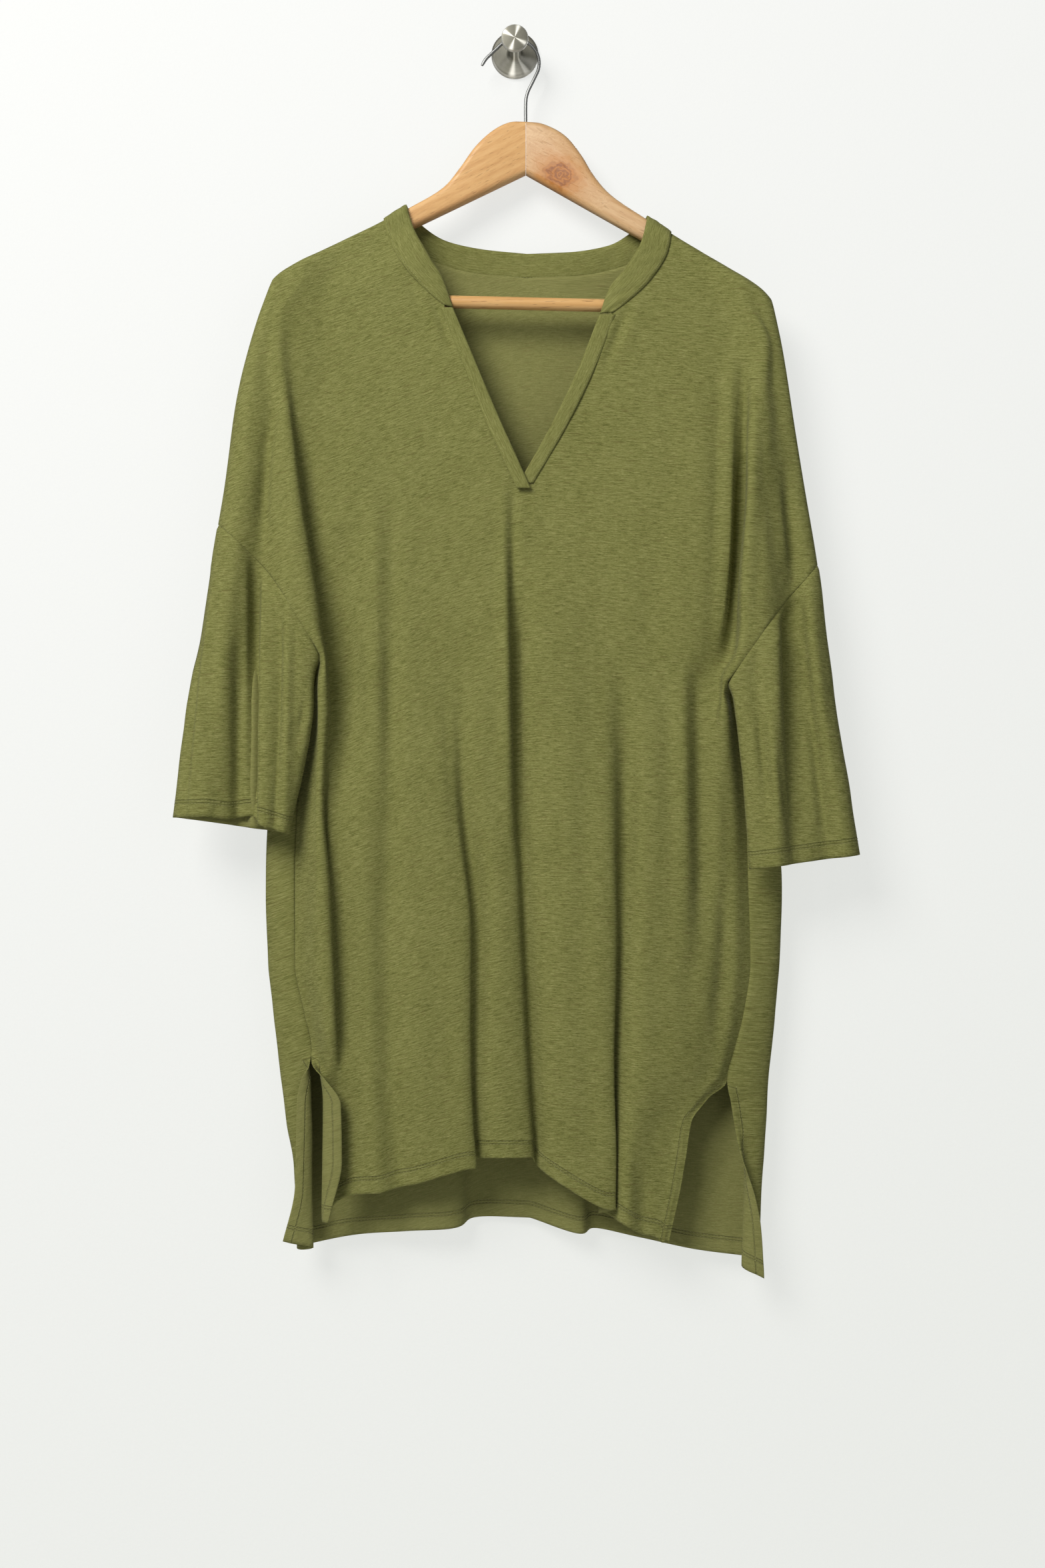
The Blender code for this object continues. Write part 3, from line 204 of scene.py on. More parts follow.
# Side seams, and the outline of the body behind the sleeves
Flank = namedtuple("Flank", "height seam seam_depth outline outline_depth")
FLANK = {
    -1: rows_of(
        Flank,
        (-559, -173, 70, -176, 48), (-571, -177, 54, -182, 38), (-600, -184, 46, -193, 31),
        (-650, -192, 43, -213, 27), (-700, -197, 43, -225, 27), (-762, -199, 43, -228, 27),
        (-838, -199, 43, -226, 27), (-880, -191, 43, -221, 27), (-915, -184, 43, -217, 27),
        (-980, -184, 43, -208, 28), (-1016, -184, 43, -201, 29), (-1095, -184, 43, -198, 30),
    ),
    1: rows_of(
        Flank,
        (-583, 190, 70, 193, 48), (-595, 194, 54, 199, 38), (-624, 201, 46, 211, 31),
        (-670, 207, 43, 230, 27), (-720, 210, 43, 241, 27), (-761, 211, 43, 244, 27),
        (-834, 213, 43, 242, 27), (-880, 207, 43, 238, 27), (-912, 199, 43, 235, 27),
        (-940, 192, 43, 232, 27), (-980, 192, 43, 230, 27), (-1053, 192, 43, 225.5, 28),
        (-1118, 192, 43, 224, 29),
    ),
}

# Slit margins below the side seams: the hemmed free edge, and the line where the margin turns
SLIT_COLUMNS = "edge edge_depth turn turn_depth"
Slit = namedtuple("Slit", "height " + SLIT_COLUMNS)
FRONT_SLIT = {
    -1: rows_of(
        Slit,
        (-915, -184, 43, -177, 47), (-925, -182, 54, -177, 48), (-937, -169, 64, -175, 54),
        (-958, -155, 66, -173, 57), (-1010, -154, 66, -173, 57), (-1052, -163, 65, -173, 57),
        (-1067, -167, 64, -173, 57),
    ),
    1: rows_of(
        Slit,
        (-939, 192, 43, 187, 46), (-962, 171, 50, 166, 52), (-978, 159, 55, 154, 56),
        (-1010, 153.5, 57, 148.5, 58), (-1036, 149, 57, 144, 58), (-1086, 138, 56, 133, 58),
    ),
}
BACK_SLIT = {
    -1: rows_of(
        Slit,
        (-915, -184, 43, -189, 42), (-928, -186, 50, -185, 42), (-940, -192, 51, -183, 43),
        (-959, -196, 50, -182, 43), (-1001, -197, 50, -181.5, 42), (-1037, -198, 49, -181.5, 42),
        (-1090, -210, 48, -181, 41),
    ),
    1: rows_of(
        Slit,
        (-939, 192, 43, 197, 41), (-987, 199.5, 42, 204.5, 40), (-1005, 203, 47, 206, 40),
        (-1020, 208, 49, 207, 40), (-1033, 213, 49, 207, 39), (-1046, 217, 48, 207, 39),
        (-1072, 222, 47, 206, 38), (-1115, 225, 46, 205, 37),
    ),
}

# The fold beside each arm, from the shoulder to the hem: a crest, a hollow and its foot
SideFold = namedtuple("SideFold", "height crest depth strength foot")
SIDE_FOLD = {
    -1: rows_of(
        SideFold,
        (-220, -190, 57, 0.0, -160), (-257, -209, 61, 0.1, -172), (-330, -201, 69, 0.5, -174),
        (-410, -191, 75, 1.0, -168), (-480, -181, 77, 1.0, -158), (-540, -169, 78, 1.0, -145),
        (-571, -164, 77, 0.9, -139), (-640, -170, 72, 0.8, -142), (-690, -172, 70, 0.9, -145),
        (-810, -164, 69, 1.0, -138), (-890, -159, 68, 1.0, -133), (-925, -158, 58, 0.8, -132),
        (-950, -158, 51, 0.4, -132), (-1010, -158, 50, 0.3, -133), (-1055, -159, 50, 0.2, -134),
    ),
    1: rows_of(
        SideFold,
        (-238, 204, 57, 0.0, 175), (-275, 221, 61, 0.1, 190), (-364, 211, 72, 0.7, 184),
        (-409, 206, 75, 1.0, 180), (-493, 203, 77, 1.0, 174), (-536, 198, 78, 1.0, 168),
        (-583, 183, 77, 0.9, 156), (-640, 184, 61, 0.35, 154), (-720, 190, 52, 0.1, 157),
        (-820, 191, 51, 0.0, 164), (-925, 179, 52, 0.0, 158), (-962, 158, 56, 0.0, 138),
        (-978, 147, 57, 0.0, 129), (-1036, 136, 58, 0.0, 119), (-1086, 126, 58, 0.0, 112),
    ),
}
SIDE_HOLLOW = 48.0
SideHem = namedtuple("SideHem", "edge top crest start hollow foot")
SIDE_HEM = {
    -1: SideHem(-1066, -1053, -1049, -1047, -1045, -1041),
    1: SideHem(-1085, -1081, -1080, -1079, -1078, -1077),
}

# Folds of the skirt: reach at five heights, swell of the crest, depth of the hollow, hem heights
FOLD_HEIGHTS = (-571, -690, -810, -930, -1045)
Fold = namedtuple(
    "Fold", "reaches begin full crest hollow overlap hem_overlap rise hem_crest hem_hollow hem_foot")
SOFT_RIGHT = Fold((-114, -117, -116, -113, -103), -450, -600, 2, 5, 0, 0, 26, -1040, -1036, -1032)
EDGE_RIGHT = Fold((-61, -51, -37, -38, -31), -540, -720, 5, 11, 2, 8, 22, -1018, -1011, -1008)
CENTRE = Fold((-1, 1, 6, 12, 18), -440, -560, 3, 14, 4, 5, 21, -1008, -1016, -1026)
EDGE_LEFT = Fold((87, 93, 94, 92, 92), -540, -760, 8, 11, 3, 18, 26, -1054, -1060, -1068)

# Lines down the back: reach and depth at the armpits and at the hem, and the hem's height
BackLine = namedtuple("BackLine", "top_reach hem_reach top_depth hem_depth hem")
BACK_LINES = {
    -1: rows_of(
        BackLine,
        (-145, -150, 14, 15, -1088), (-104, -100, 14, 25, -1082), (-54, -51, 14, 26, -1078),
        (-43, -40, 13, 11, -1073),
    ),
    1: rows_of(
        BackLine,
        (160, 165, 14, 19, -1100), (112, 114, 14, 14, -1090), (66, 70, 14, 12, -1082),
        (56, 62, 14, 24, -1085),
    ),
}
BACK_CENTRE = BackLine(5, 14, 14, 9, -1073)
BACK_HEM_SIDE = {-1: (-1086, -1096), 1: (-1120, -1106)}

# Hanger arm outline, from the top of the mitre round the tip to the foot of the mitre
ArmPoint = namedtuple("ArmPoint", "reach height")
HANGER_ARM = {
    -1: rows_of(
        ArmPoint,
        (-4, -69.5), (-19, -77), (-36, -93), (-50, -113), (-65, -131.5), (-98, -152.5), (-119, -165.2),
        (-156, -185.2), (-196, -207), (-208, -215), (-214.5, -224), (-214.5, -236), (-208, -244.5),
        (-193, -245.5), (-187, -242.5), (-187, -229), (-179, -219), (-163, -206), (-130, -189), (-93, -170),
    ),
    1: rows_of(
        ArmPoint,
        (25, -71), (45, -82), (60, -100), (72, -120), (87, -138), (121, -162.5), (142, -177.2),
        (165, -192.2), (198, -214.2), (218, -228.5), (226, -239), (226.5, -250), (220, -256.5), (205, -257),
        (199, -252), (199, -238.5), (191, -230), (174, -215), (150, -200), (117, -181),
    ),
}
BarEnd = namedtuple("BarEnd", "reach height")
BAR_ENDS = (BarEnd(-186.7, -235.6), BarEnd(198.7, -244.6))

# Wall knob, from its plate on the wall to its face
KnobRing = namedtuple("KnobRing", "depth radius")
KNOB = rows_of(
    KnobRing,
    (0.0, 21.7), (2.4, 21.7), (3.8, 20.6), (4.4, 18.8), (4.4, 8.4), (5.6, 6.4), (8.0, 5.5), (34.0, 5.5),
    (36.5, 6.4), (38.0, 9.8), (39.0, 11.6), (40.4, 12.2), (43.4, 12.2), (44.6, 11.4), (45.0, 10.0),
)


# Interpolation

def lerp(a, b, part):
    return a + (b - a) * part


def ease(value):
    value = max(0.0, min(1.0, value))
    return value * value * (3.0 - 2.0 * value)


def quarter(value):
    """Rise of a quarter of an ellipse, from 0 at 0 to 1 at 1."""
    value = max(0.0, min(1.0, value))
    return math.sqrt(1.0 - (1.0 - value) ** 2)


def smooth_pairs(pairs, at):
    """Smooth value through (position, value) pairs, without overshoot."""
    if pairs[0][0] > pairs[-1][0]:
        pairs = pairs[::-1]
    if at <= pairs[0][0]:
        return pairs[0][1]
    if at >= pairs[-1][0]:
        return pairs[-1][1]
    slopes = [(b[1] - a[1]) / (b[0] - a[0]) for a, b in zip(pairs, pairs[1:])]
    tangents = [slopes[0]]
    for before, after in zip(slopes, slopes[1:]):
        both = before * after
        tangents.append(2.0 * both / (before + after) if both > 0.0 else 0.0)
    tangents.append(slopes[-1])
    i = next(n for n in range(len(slopes)) if at <= pairs[n + 1][0])
    span = pairs[i + 1][0] - pairs[i][0]
    v = (at - pairs[i][0]) / span
    return (pairs[i][1] * (1 + 2 * v) * (1 - v) ** 2 + tangents[i] * span * v * (1 - v) ** 2
            + pairs[i + 1][1] * v * v * (3 - 2 * v) + tangents[i + 1] * span * v * v * (v - 1))


def at_height(rows, height, column):
    return smooth_pairs([(row.height, getattr(row, column)) for row in rows], height)


def all_at_height(rows, height, columns):
    return [at_height(rows, height, column) for column in columns.split()]


def curve_through(knots, counts):
    """Points on a smooth curve through the knots, with counts[i] steps after knot i."""
    gaps = [max(0.05, math.dist(a, b)) ** 0.5 for a, b in zip(knots, knots[1:])]
    tangents = []
    for i, knot in enumerate(knots):
        if i == 0:
            tangents.append([(b - a) / gaps[0] for a, b in zip(knot, knots[1])])
        elif i == len(knots) - 1:
            tangents.append([(b - a) / gaps[-1] for a, b in zip(knots[i - 1], knot)])
        else:
            g, h = gaps[i - 1], gaps[i]
            tangents.append([((c - b) / h * g + (b - a) / g * h) / (g + h)
                             for a, b, c in zip(knots[i - 1], knot, knots[i + 1])])
    points = []
    for i, count in enumerate(counts):
        for step in range(count):
            v = step / count
            weights = ((1 + 2 * v) * (1 - v) ** 2, v * (1 - v) ** 2 * gaps[i],
                       v * v * (3 - 2 * v), v * v * (v - 1) * gaps[i])
            points.append(tuple(
                weights[0] * a + weights[1] * m + weights[2] * b + weights[3] * n
                for a, m, b, n in zip(knots[i], tangents[i], knots[i + 1], tangents[i + 1])))
    points.append(tuple(knots[-1]))
    return points


# Depths out from the wall

def arm_depth(x):
    """Middle of the hanger's arm, which sweeps forward to its tip."""
    return ARM_DEPTH + ARM_SWEEP * abs(x - MITRE_X)


def shoulder_height(side, x):
    return smooth_pairs([(row.reach, row.height) for row in SHOULDER[side]], x)


def below_shoulder(side, x, z):
    return max(0.0, shoulder_height(side, x) - z)


def over_hanger(side, x, z, depth):
    """A depth that starts at the shoulder seam and rounds over the hanger's arm."""
    return lerp(arm_depth(x), depth, quarter(below_shoulder(side, x, z) / SHOULDER_ROUND))


def front_arm_depth(side, x, z):
    """Front layer of the arm: round at its outline, with a hollow down its middle."""
    outline, valley, inner, edge, outer, dip, crest = all_at_height(
        ARM[side], z, "outline valley inner edge outer dip crest")
    outer_x = outline - side * max(10.0, 0.5 * abs(valley - outline))
    valley = min(valley, outer_x - 6.0) if side > 0 else max(valley, outer_x + 6.0)
    crest_x = lerp(valley, inner, 0.6)
    if (x - outer_x) * side > 0:
        depth = lerp(edge, outer, quarter((x - outline) / (outer_x - outline)))
    elif (x - valley) * side > 0:
        depth = lerp(outer, dip, ease((x - outer_x) / (valley - outer_x)))
    else:
        depth = lerp(dip, crest, ease((x - valley) / (crest_x - valley)))
    return over_hanger(side, x, z, depth)


def front_sleeve_depth(side, x, z, inner_x):
    """Front layer of the sleeve, rounded also at its inner edge."""
    return lerp(UNDERARM_DEPTH, front_arm_depth(side, x, z), quarter(abs(x - inner_x) / 14.0))


def back_arm_depth(side, x, z):
    """Back layer of the shoulder, from the outline in to the plain back."""
    outline, edge, arm_back = all_at_height(ARM[side], z, "outline edge back")
    inward = abs(x - outline)
    below = below_shoulder(side, x, z)
    over_arm = arm_depth(x) - CLOTH_OVER_ARM
    back = lerp(over_arm, arm_back, ease((below - 50.0) / 60.0))
    off_hanger = ease((below_shoulder(side, outline, z) - 30.0) / 60.0)
    layer = lerp(edge, back, quarter(inward / lerp(8.0, 16.0, off_hanger)))
    hung = lerp(over_arm, BACK_DEPTH, ease((below - 12.0) / 80.0))
    return over_hanger(side, x, z, lerp(layer, hung, ease((inward - 10.0) / 90.0)))


def chest_depth(side, x, z):
    """Plain front of the body, from the shoulder seam down."""
    near_seam = arm_depth(x) + CLOTH_OVER_ARM
    depth = lerp(near_seam, at_height(CHEST, z, "depth"), ease(below_shoulder(side, x, z) / SHOULDER_EASE))
    return over_hanger(side, x, z, depth)


# Edges of the cut

def armhole(side, v, back):
    """Armhole seam from the dropped shoulder, v = 0, to the armpit, v = 1."""
    corner = CORNER[side]
    start_x = at_height(ARM[side], corner.dropped, "outline")
    x = lerp(start_x, corner.armpit_x, v)
    z = lerp(corner.dropped, corner.armpit_height, v) + SEAM_ARCH[side] * math.sin(math.pi * v)
    if back:
        edge = at_height(ARM[side], corner.dropped, "edge")
        return x, lerp(edge, UNDERARM_DEPTH, v * v) - ARMHOLE_HOLLOW * math.sin(math.pi * v), z
    return x, front_sleeve_depth(side, x, z, corner.armpit_x), z


def outer_edge(side, t, back):
    """Outer edge of a panel above the armpit row: down the arm's top, then along the armhole."""
    corner = CORNER[side]
    if t <= ROW_BUST:
        z = lerp(corner.shoulder, corner.dropped, t / ROW_BUST)
        return (*all_at_height(ARM[side], z, "outline edge"), z)
    return armhole(side, (t - ROW_BUST) / (ROW_ARMPIT - ROW_BUST), back)


def neck_at(rows, along, column):
    return smooth_pairs([(row.along, getattr(row, column)) for row in rows], along)


def neck_edge(rows, along):
    """Edge of a panel at the neck: the seam, and the turning that lies under the band."""
    x, z = neck_at(rows, along, "reach"), neck_at(rows, along, "height")
    dx, dz = neck_at(rows, along, "free_reach") - x, neck_at(rows, along, "free_height") - z
    share = BAND_OVERLAP / math.hypot(dx, dz)
    return x + dx * share, z + dz * share


def front_inner_edge(side, t):
    """Neck edge, V edge, then the line down the middle of the front."""
    if t <= ROW_COLLAR:
        return neck_edge(FRONT_NECK[side], t / ROW_COLLAR)
    if t <= ROW_BUST:
        part = (t - ROW_COLLAR) / (ROW_BUST - ROW_COLLAR)
        start_x, start_z = neck_edge(FRONT_NECK[side], 1.0)
        z = lerp(start_z, V_POINT_HEIGHT, part)
        seam = at_height(PLACKET[side], z, "seam") - side * BAND_OVERLAP
        seam = lerp(start_x, seam, ease(part / 0.1))
        return lerp(seam, V_POINT_X, ease((part - 0.86) / 0.14)), z
    z = lerp(V_POINT_HEIGHT, ARMPIT_ROW, (t - ROW_BUST) / (ROW_ARMPIT - ROW_BUST))
    return lerp(V_POINT_X, fold_reach(CENTRE, z), ease((V_POINT_HEIGHT - z) / 60.0)), z


def back_inner_edge(side, t):
    if t <= ROW_BACK_NECK:
        return neck_edge(BACK_NECK[side], t / ROW_BACK_NECK)
    x, z = neck_edge(BACK_NECK[side], 1.0)
    part = (t - ROW_BACK_NECK) / (ROW_ARMPIT - ROW_BACK_NECK)
    return lerp(x, BACK_CENTRE.top_reach, part), lerp(z, ARMPIT_ROW, part)


def seam_line(side, t, outer, inner, neck, reach):
    """Height of row t at a reach: level between its ends, and along the shoulder seam at the top."""
    straight = lerp(outer[1], inner[1], (reach - outer[0]) / (inner[0] - outer[0]))
    first = at_height(ARM[side], CORNER[side].shoulder, "outline")
    part = max(0.0, min(1.0, (reach - first) / (neck[0] - first)))
    bend = shoulder_height(side, lerp(first, neck[0], part)) - lerp(CORNER[side].shoulder, neck[1], part)
    return straight + bend * (1.0 - ease(t / 0.35))


# Rows of the front

def fold_reach(fold, z):
    return smooth_pairs(list(zip(FOLD_HEIGHTS, fold.reaches)), z)


def row_height(t, x, hem):
    """Height of the rows from the armpits down; they tilt, and end on the hem."""
    armpit = ARMPIT_ROW + ROW_TILT * x
    slit = SLIT_ROW + ROW_TILT * x
    if t <= ROW_SLIT:
        return lerp(armpit, slit, t - ROW_ARMPIT)
    return lerp(slit, hem, t - ROW_SLIT)


def fold_knots(fold, z, soft=False):
    """Knots across one fold, in +X order, as (reach, swell, hem height)."""
    x = fold_reach(fold, z)
    strength = ease((fold.begin - z) / (fold.begin - fold.full))
    if soft:
        return [
            (x - fold.rise * 0.6, fold.crest * strength, fold.hem_crest),
            (x, -fold.hollow * strength, fold.hem_hollow),
            (x + fold.rise * 0.6, fold.crest * strength, fold.hem_foot),
        ]
    overlap = lerp(fold.overlap, fold.hem_overlap, max(0.0, (-700.0 - z) / 345.0)) * strength
    start = x - overlap + lerp(6.0, 1.0, strength)
    return [
        (x - 9.0, fold.crest * strength, fold.hem_crest),
        (x, (fold.crest - 4.0) * strength, fold.hem_crest),
        (start, (4.0 - fold.hollow) * strength, fold.hem_hollow),
        (start + 6.0, -fold.hollow * strength, fold.hem_hollow),
        (x - overlap + fold.rise, (fold.crest - 1.0) * strength, fold.hem_foot),
    ]


def skirt_knots(side, z):
    """Knots of one half of the skirt, from beside the side fold in to the middle."""
    if side < 0:
        return fold_knots(SOFT_RIGHT, z, soft=True) + fold_knots(EDGE_RIGHT, z) + fold_knots(CENTRE, z)[:2]
    centre = fold_knots(CENTRE, z)
    return (centre[1:2] + centre[3:] + fold_knots(EDGE_LEFT, z))[::-1]


def side_fold(side, z):
    return all_at_height(SIDE_FOLD[side], z, "crest depth strength foot")


def side_fold_knots(side, crest_z, edge_x, height, plain):
    """Crest top, crest edge, hollow edge, hollow and foot of the fold beside the arm."""
    crest, depth, strength, foot = side_fold(side, crest_z)
    top = crest + side * min(6.0, 0.35 * abs(crest - edge_x))
    floor_x = crest + side * lerp(-5.0, 2.6, strength)
    low_x = crest + side * lerp(-9.5, 0.6, strength)
    foot_depth = plain(foot, height(foot))
    reach = max(1.0, abs(foot - crest))
    slope = [lerp(depth, foot_depth, abs(x - crest) / reach) for x in (floor_x, low_x)]

    def hang(x, value):
        return over_hanger(side, x, height(x), value)

    return [
        (top, hang(top, depth)),
        (crest, hang(crest, depth - 4.0 * strength)),
        (floor_x, hang(floor_x, lerp(slope[0], SIDE_HOLLOW + 4.0, strength))),
        (low_x, hang(low_x, lerp(slope[1], SIDE_HOLLOW, strength))),
        (foot, foot_depth),
    ]


def upper_front_row(side, t):
    """Knots of one half of the front above the armpits, from its outer to its inner edge."""
    ox, od, oz = outer_edge(side, t, back=False)
    ix, iz = front_inner_edge(side, t)
    neck = neck_edge(FRONT_NECK[side], 0.0)

    def height(x):
        return seam_line(side, t, (ox, oz), (ix, iz), neck, x)

    def plain(x, z):
        return chest_depth(side, x, z)

    crest_z = oz
    for _ in range(4):
        crest_z = height(side_fold(side, crest_z)[0])
    folded = side_fold_knots(side, crest_z, ox, height, plain)
    top, top_depth = folded[0]
    knots = [(ox, od, oz)]
    settle = ease((t - 0.85) / 0.15)
    for part in ARM_COLUMNS[1:]:
        x = lerp(ox, top, part)
        depth = lerp(front_arm_depth(side, x, height(x)), lerp(od, top_depth, quarter(part)), settle)
        knots.append((x, depth, height(x)))
    knots += [(x, depth, height(x)) for x, depth in folded]
    foot_x = folded[-1][0]
    lower_foot = side_fold(side, ARMPIT_ROW + ROW_TILT * CORNER[side].armpit_x)[3]
    middle = fold_reach(CENTRE, ARMPIT_ROW)
    for index, (reach, _, _) in enumerate(skirt_knots(side, ARMPIT_ROW)):
        part = (reach - lower_foot) / (middle - lower_foot)
        x = lerp(foot_x, ix, part)
        z = height(x)
        knots.append((x, chest_depth(side, x, z) + skirt_knots(side, z)[index][1], z))
    knots[-1] = (ix, knots[-1][1], iz)
    return knots


def turned_margin(index, edge, edge_depth, turn, turn_depth):
    """A margin from its free edge to the line where it turns; a wide one turns in a round loop."""
    back = 1.0 - FLAP_COLUMNS[index]
    rise = lerp(math.sin(back * math.pi / 2), quarter(back), ease((abs(edge - turn) - 4.0) / 6.0))
    return lerp(turn, edge, back), lerp(turn_depth, edge_depth, rise)


def margin_column(index, part, side, edge_z, top, top_depth):
    """Reach and depth of a column beside the front's slit, where the margin may turn over."""
    edge, edge_depth, turn, turn_depth = all_at_height(FRONT_SLIT[side], edge_z, SLIT_COLUMNS)
    if index < len(FLAP_COLUMNS):
        return turned_margin(index, edge, edge_depth, turn, turn_depth)
    share = (part - ARM_COLUMNS[3]) / (1.0 - ARM_COLUMNS[3])
    settle = ease(share) if top_depth > turn_depth else quarter(share)
    return lerp(turn, top, share), lerp(turn_depth, top_depth, settle)


def lower_front_row(side, t):
    """Knots of one half of the front from the armpits to the hem."""
    hems = SIDE_HEM[side]

    def height(x):
        return row_height(t, x, hems.top)

    def plain(x, z):
        return at_height(CHEST, z, "depth")

    edge_z = row_height(t, CORNER[side].armpit_x, hems.edge)
    edge_x = at_height(FLANK[side], edge_z, "seam")
    edge_z = row_height(t, edge_x, hems.edge)
    edge_depth = at_height(FLANK[side], edge_z, "seam_depth")
    outside = edge_x if t <= ROW_SLIT else at_height(FRONT_SLIT[side], edge_z, "turn")
    crest_z = row_height(t, side_fold(side, edge_z)[0], hems.top)
    folded = side_fold_knots(side, crest_z, outside, height, plain)
    top, top_depth = folded[0]
    knots = []
    for index, part in enumerate(ARM_COLUMNS):
        x = lerp(edge_x, top, part)
        depth = lerp(edge_depth, top_depth, lerp(quarter(part), ease(part), ease((t - 1.0) / 0.03)))
        if t > ROW_SLIT:
            margin = margin_column(index, part, side, edge_z, top, top_depth)
            settle = ease((t - ROW_SLIT) / 0.12)
            x, depth = lerp(x, margin[0], settle), lerp(depth, margin[1], settle)
        knots.append((x, depth, row_height(t, x, hems.edge)))
    for (x, depth), hem in zip(folded, hems[1:]):
        knots.append((x, depth, row_height(t, x, hem)))
    for index, (reach, _, hem) in enumerate(skirt_knots(side, ARMPIT_ROW)):
        z = row_height(t, reach, hem)
        for _ in range(2):
            x, swell, _ = skirt_knots(side, z)[index]
            z = row_height(t, x, hem)
        knots.append((x, at_height(CHEST, z, "depth") + swell, z))
    return knots


def front_row(side, t):
    return upper_front_row(side, t) if t < ROW_ARMPIT else lower_front_row(side, t)


# Rows of the back

def wrap_point(q, seam, outline, far):
    """Round the side of the body: from the seam, q = 0, over the outline to the back, q = 1."""
    if q <= 0.5:
        turn = q * math.pi
        return lerp(seam[0], outline[0], math.sin(turn)), lerp(outline[1], seam[1], math.cos(turn))
    turn = (q - 0.5) * math.pi
    return lerp(outline[0], far[0], 1.0 - math.cos(turn)), lerp(outline[1], far[1], math.sin(turn))


def upper_back_row(side, t):
    """Knots of one half of the back above the armpits, from its outer edge to the middle."""
    ox, od, oz = outer_edge(side, t, back=True)
    ix, iz = back_inner_edge(side, t)
    neck = neck_edge(BACK_NECK[side], 0.0)

    def height(x):
        return seam_line(side, t, (ox, oz), (ix, iz), neck, x)

    armpit = CORNER[side].armpit_x
    shares = [(line.top_reach - armpit) / (BACK_CENTRE.top_reach - armpit) for line in BACK_LINES[side]]
    knots = [(ox, od, oz)]
    for part in WRAP_COLUMNS[1:]:
        x = lerp(ox, lerp(ox, ix, shares[0]), part)
        share = lerp(1.0, ease(part / 0.6), ease((t - ROW_BUST) / 0.06))
        knots.append((x, lerp(od, back_arm_depth(side, x, height(x)), share), height(x)))
    for share in shares:
        x = lerp(ox, ix, share)
        knots.append((x, back_arm_depth(side, x, height(x)), height(x)))
    knots.append((ix, back_arm_depth(side, ix, iz), iz))
    return knots


def lower_back_row(side, t):
    """Knots of one half of the back from the armpits to the hem, from the side seam to the middle."""
    lines = BACK_LINES[side]
    hem_edge, hem_wrap = BACK_HEM_SIDE[side]
    down = (t - ROW_ARMPIT) / (ROW_HEM - ROW_ARMPIT)
    edge_z = row_height(t, CORNER[side].armpit_x, hem_edge)
    edge_x = at_height(FLANK[side], edge_z, "seam")
    edge_z = row_height(t, edge_x, hem_edge)
    seam = (edge_x, at_height(FLANK[side], edge_z, "seam_depth"))
    outline = all_at_height(FLANK[side], edge_z, "outline outline_depth")
    line_x = lerp(lines[0].top_reach, lines[0].hem_reach, down)
    line_depth = lerp(lines[0].top_depth, lines[0].hem_depth, ease(down))
    far = (lerp(outline[0], line_x, 0.45), line_depth)
    knots = []
    for index, (even, tight) in enumerate(zip(WRAP_COLUMNS, WRAP_AT_SLIT)):
        q = lerp(even, tight, ease((t - 1.3) / 0.6))
        x, depth = wrap_point(q, seam, outline, far)
        hem = lerp(hem_edge, hem_wrap, min(1.0, index / 4))
        if t > ROW_SLIT:
            edge, edge_depth, turn, turn_depth = all_at_height(BACK_SLIT[side], edge_z, SLIT_COLUMNS)
            if index < len(FLAP_COLUMNS):
                margin = turned_margin(index, edge, edge_depth, turn, turn_depth)
            else:
                margin = wrap_point(q, (turn, turn_depth), outline, far)
            settle = ease((t - ROW_SLIT) / 0.12)
            x, depth = lerp(x, margin[0], settle), lerp(depth, margin[1], settle)
        knots.append((x, depth, row_height(t, x, hem)))
    for line in lines + (BACK_CENTRE,):
        x = lerp(line.top_reach, line.hem_reach, down)
        knots.append((x, lerp(line.top_depth, line.hem_depth, ease(down)), row_height(t, x, line.hem)))
    return knots


def back_row(side, t):
    return upper_back_row(side, t) if t < ROW_ARMPIT else lower_back_row(side, t)


# Sleeves

def sleeve_point(side, u, v, back):
    """Point of a sleeve: u from its outline to its inner edge, v from the armhole to the cuff."""
    corner = CORNER[side]
    outer_z = lerp(corner.dropped, CUFF_OUTER[side], v)
    inner_z = lerp(corner.armpit_height, CUFF_INNER[side], v)
    inner_x = at_height(ARM[side], inner_z, "inner")
    x = lerp(at_height(ARM[side], outer_z, "outline"), inner_x, u)
    z = lerp(outer_z, inner_z, u) + SEAM_ARCH[side] * math.sin(math.pi * u) * (1.0 - v)
    if not back:
        return x, front_sleeve_depth(side, x, z, inner_x), z
    outline, edge, layer = all_at_height(ARM[side], z, "outline edge back")
    depth = lerp(edge, layer, quarter(abs(x - outline) / 16.0))
    depth = lerp(depth, BACK_AT_UNDERARM, ease((u - 0.3) / 0.5))
    depth = lerp(UNDERARM_DEPTH, depth, quarter(abs(x - inner_x) / 12.0))
    seam_depth = armhole(side, u, back=True)[1]
    return x, lerp(seam_depth, depth, ease(v / 0.5)), z


# Bands

def lifted(side, x, depth, z, lift, back):
    """Move a point of a panel out from its face by a lift."""
    q = max(0.0, 1.0 - below_shoulder(side, x, z) / SHOULDER_ROUND)
    away = math.sqrt(1.0 - q * q)
    return x, depth + lift * (-away if back else away), z + lift * q


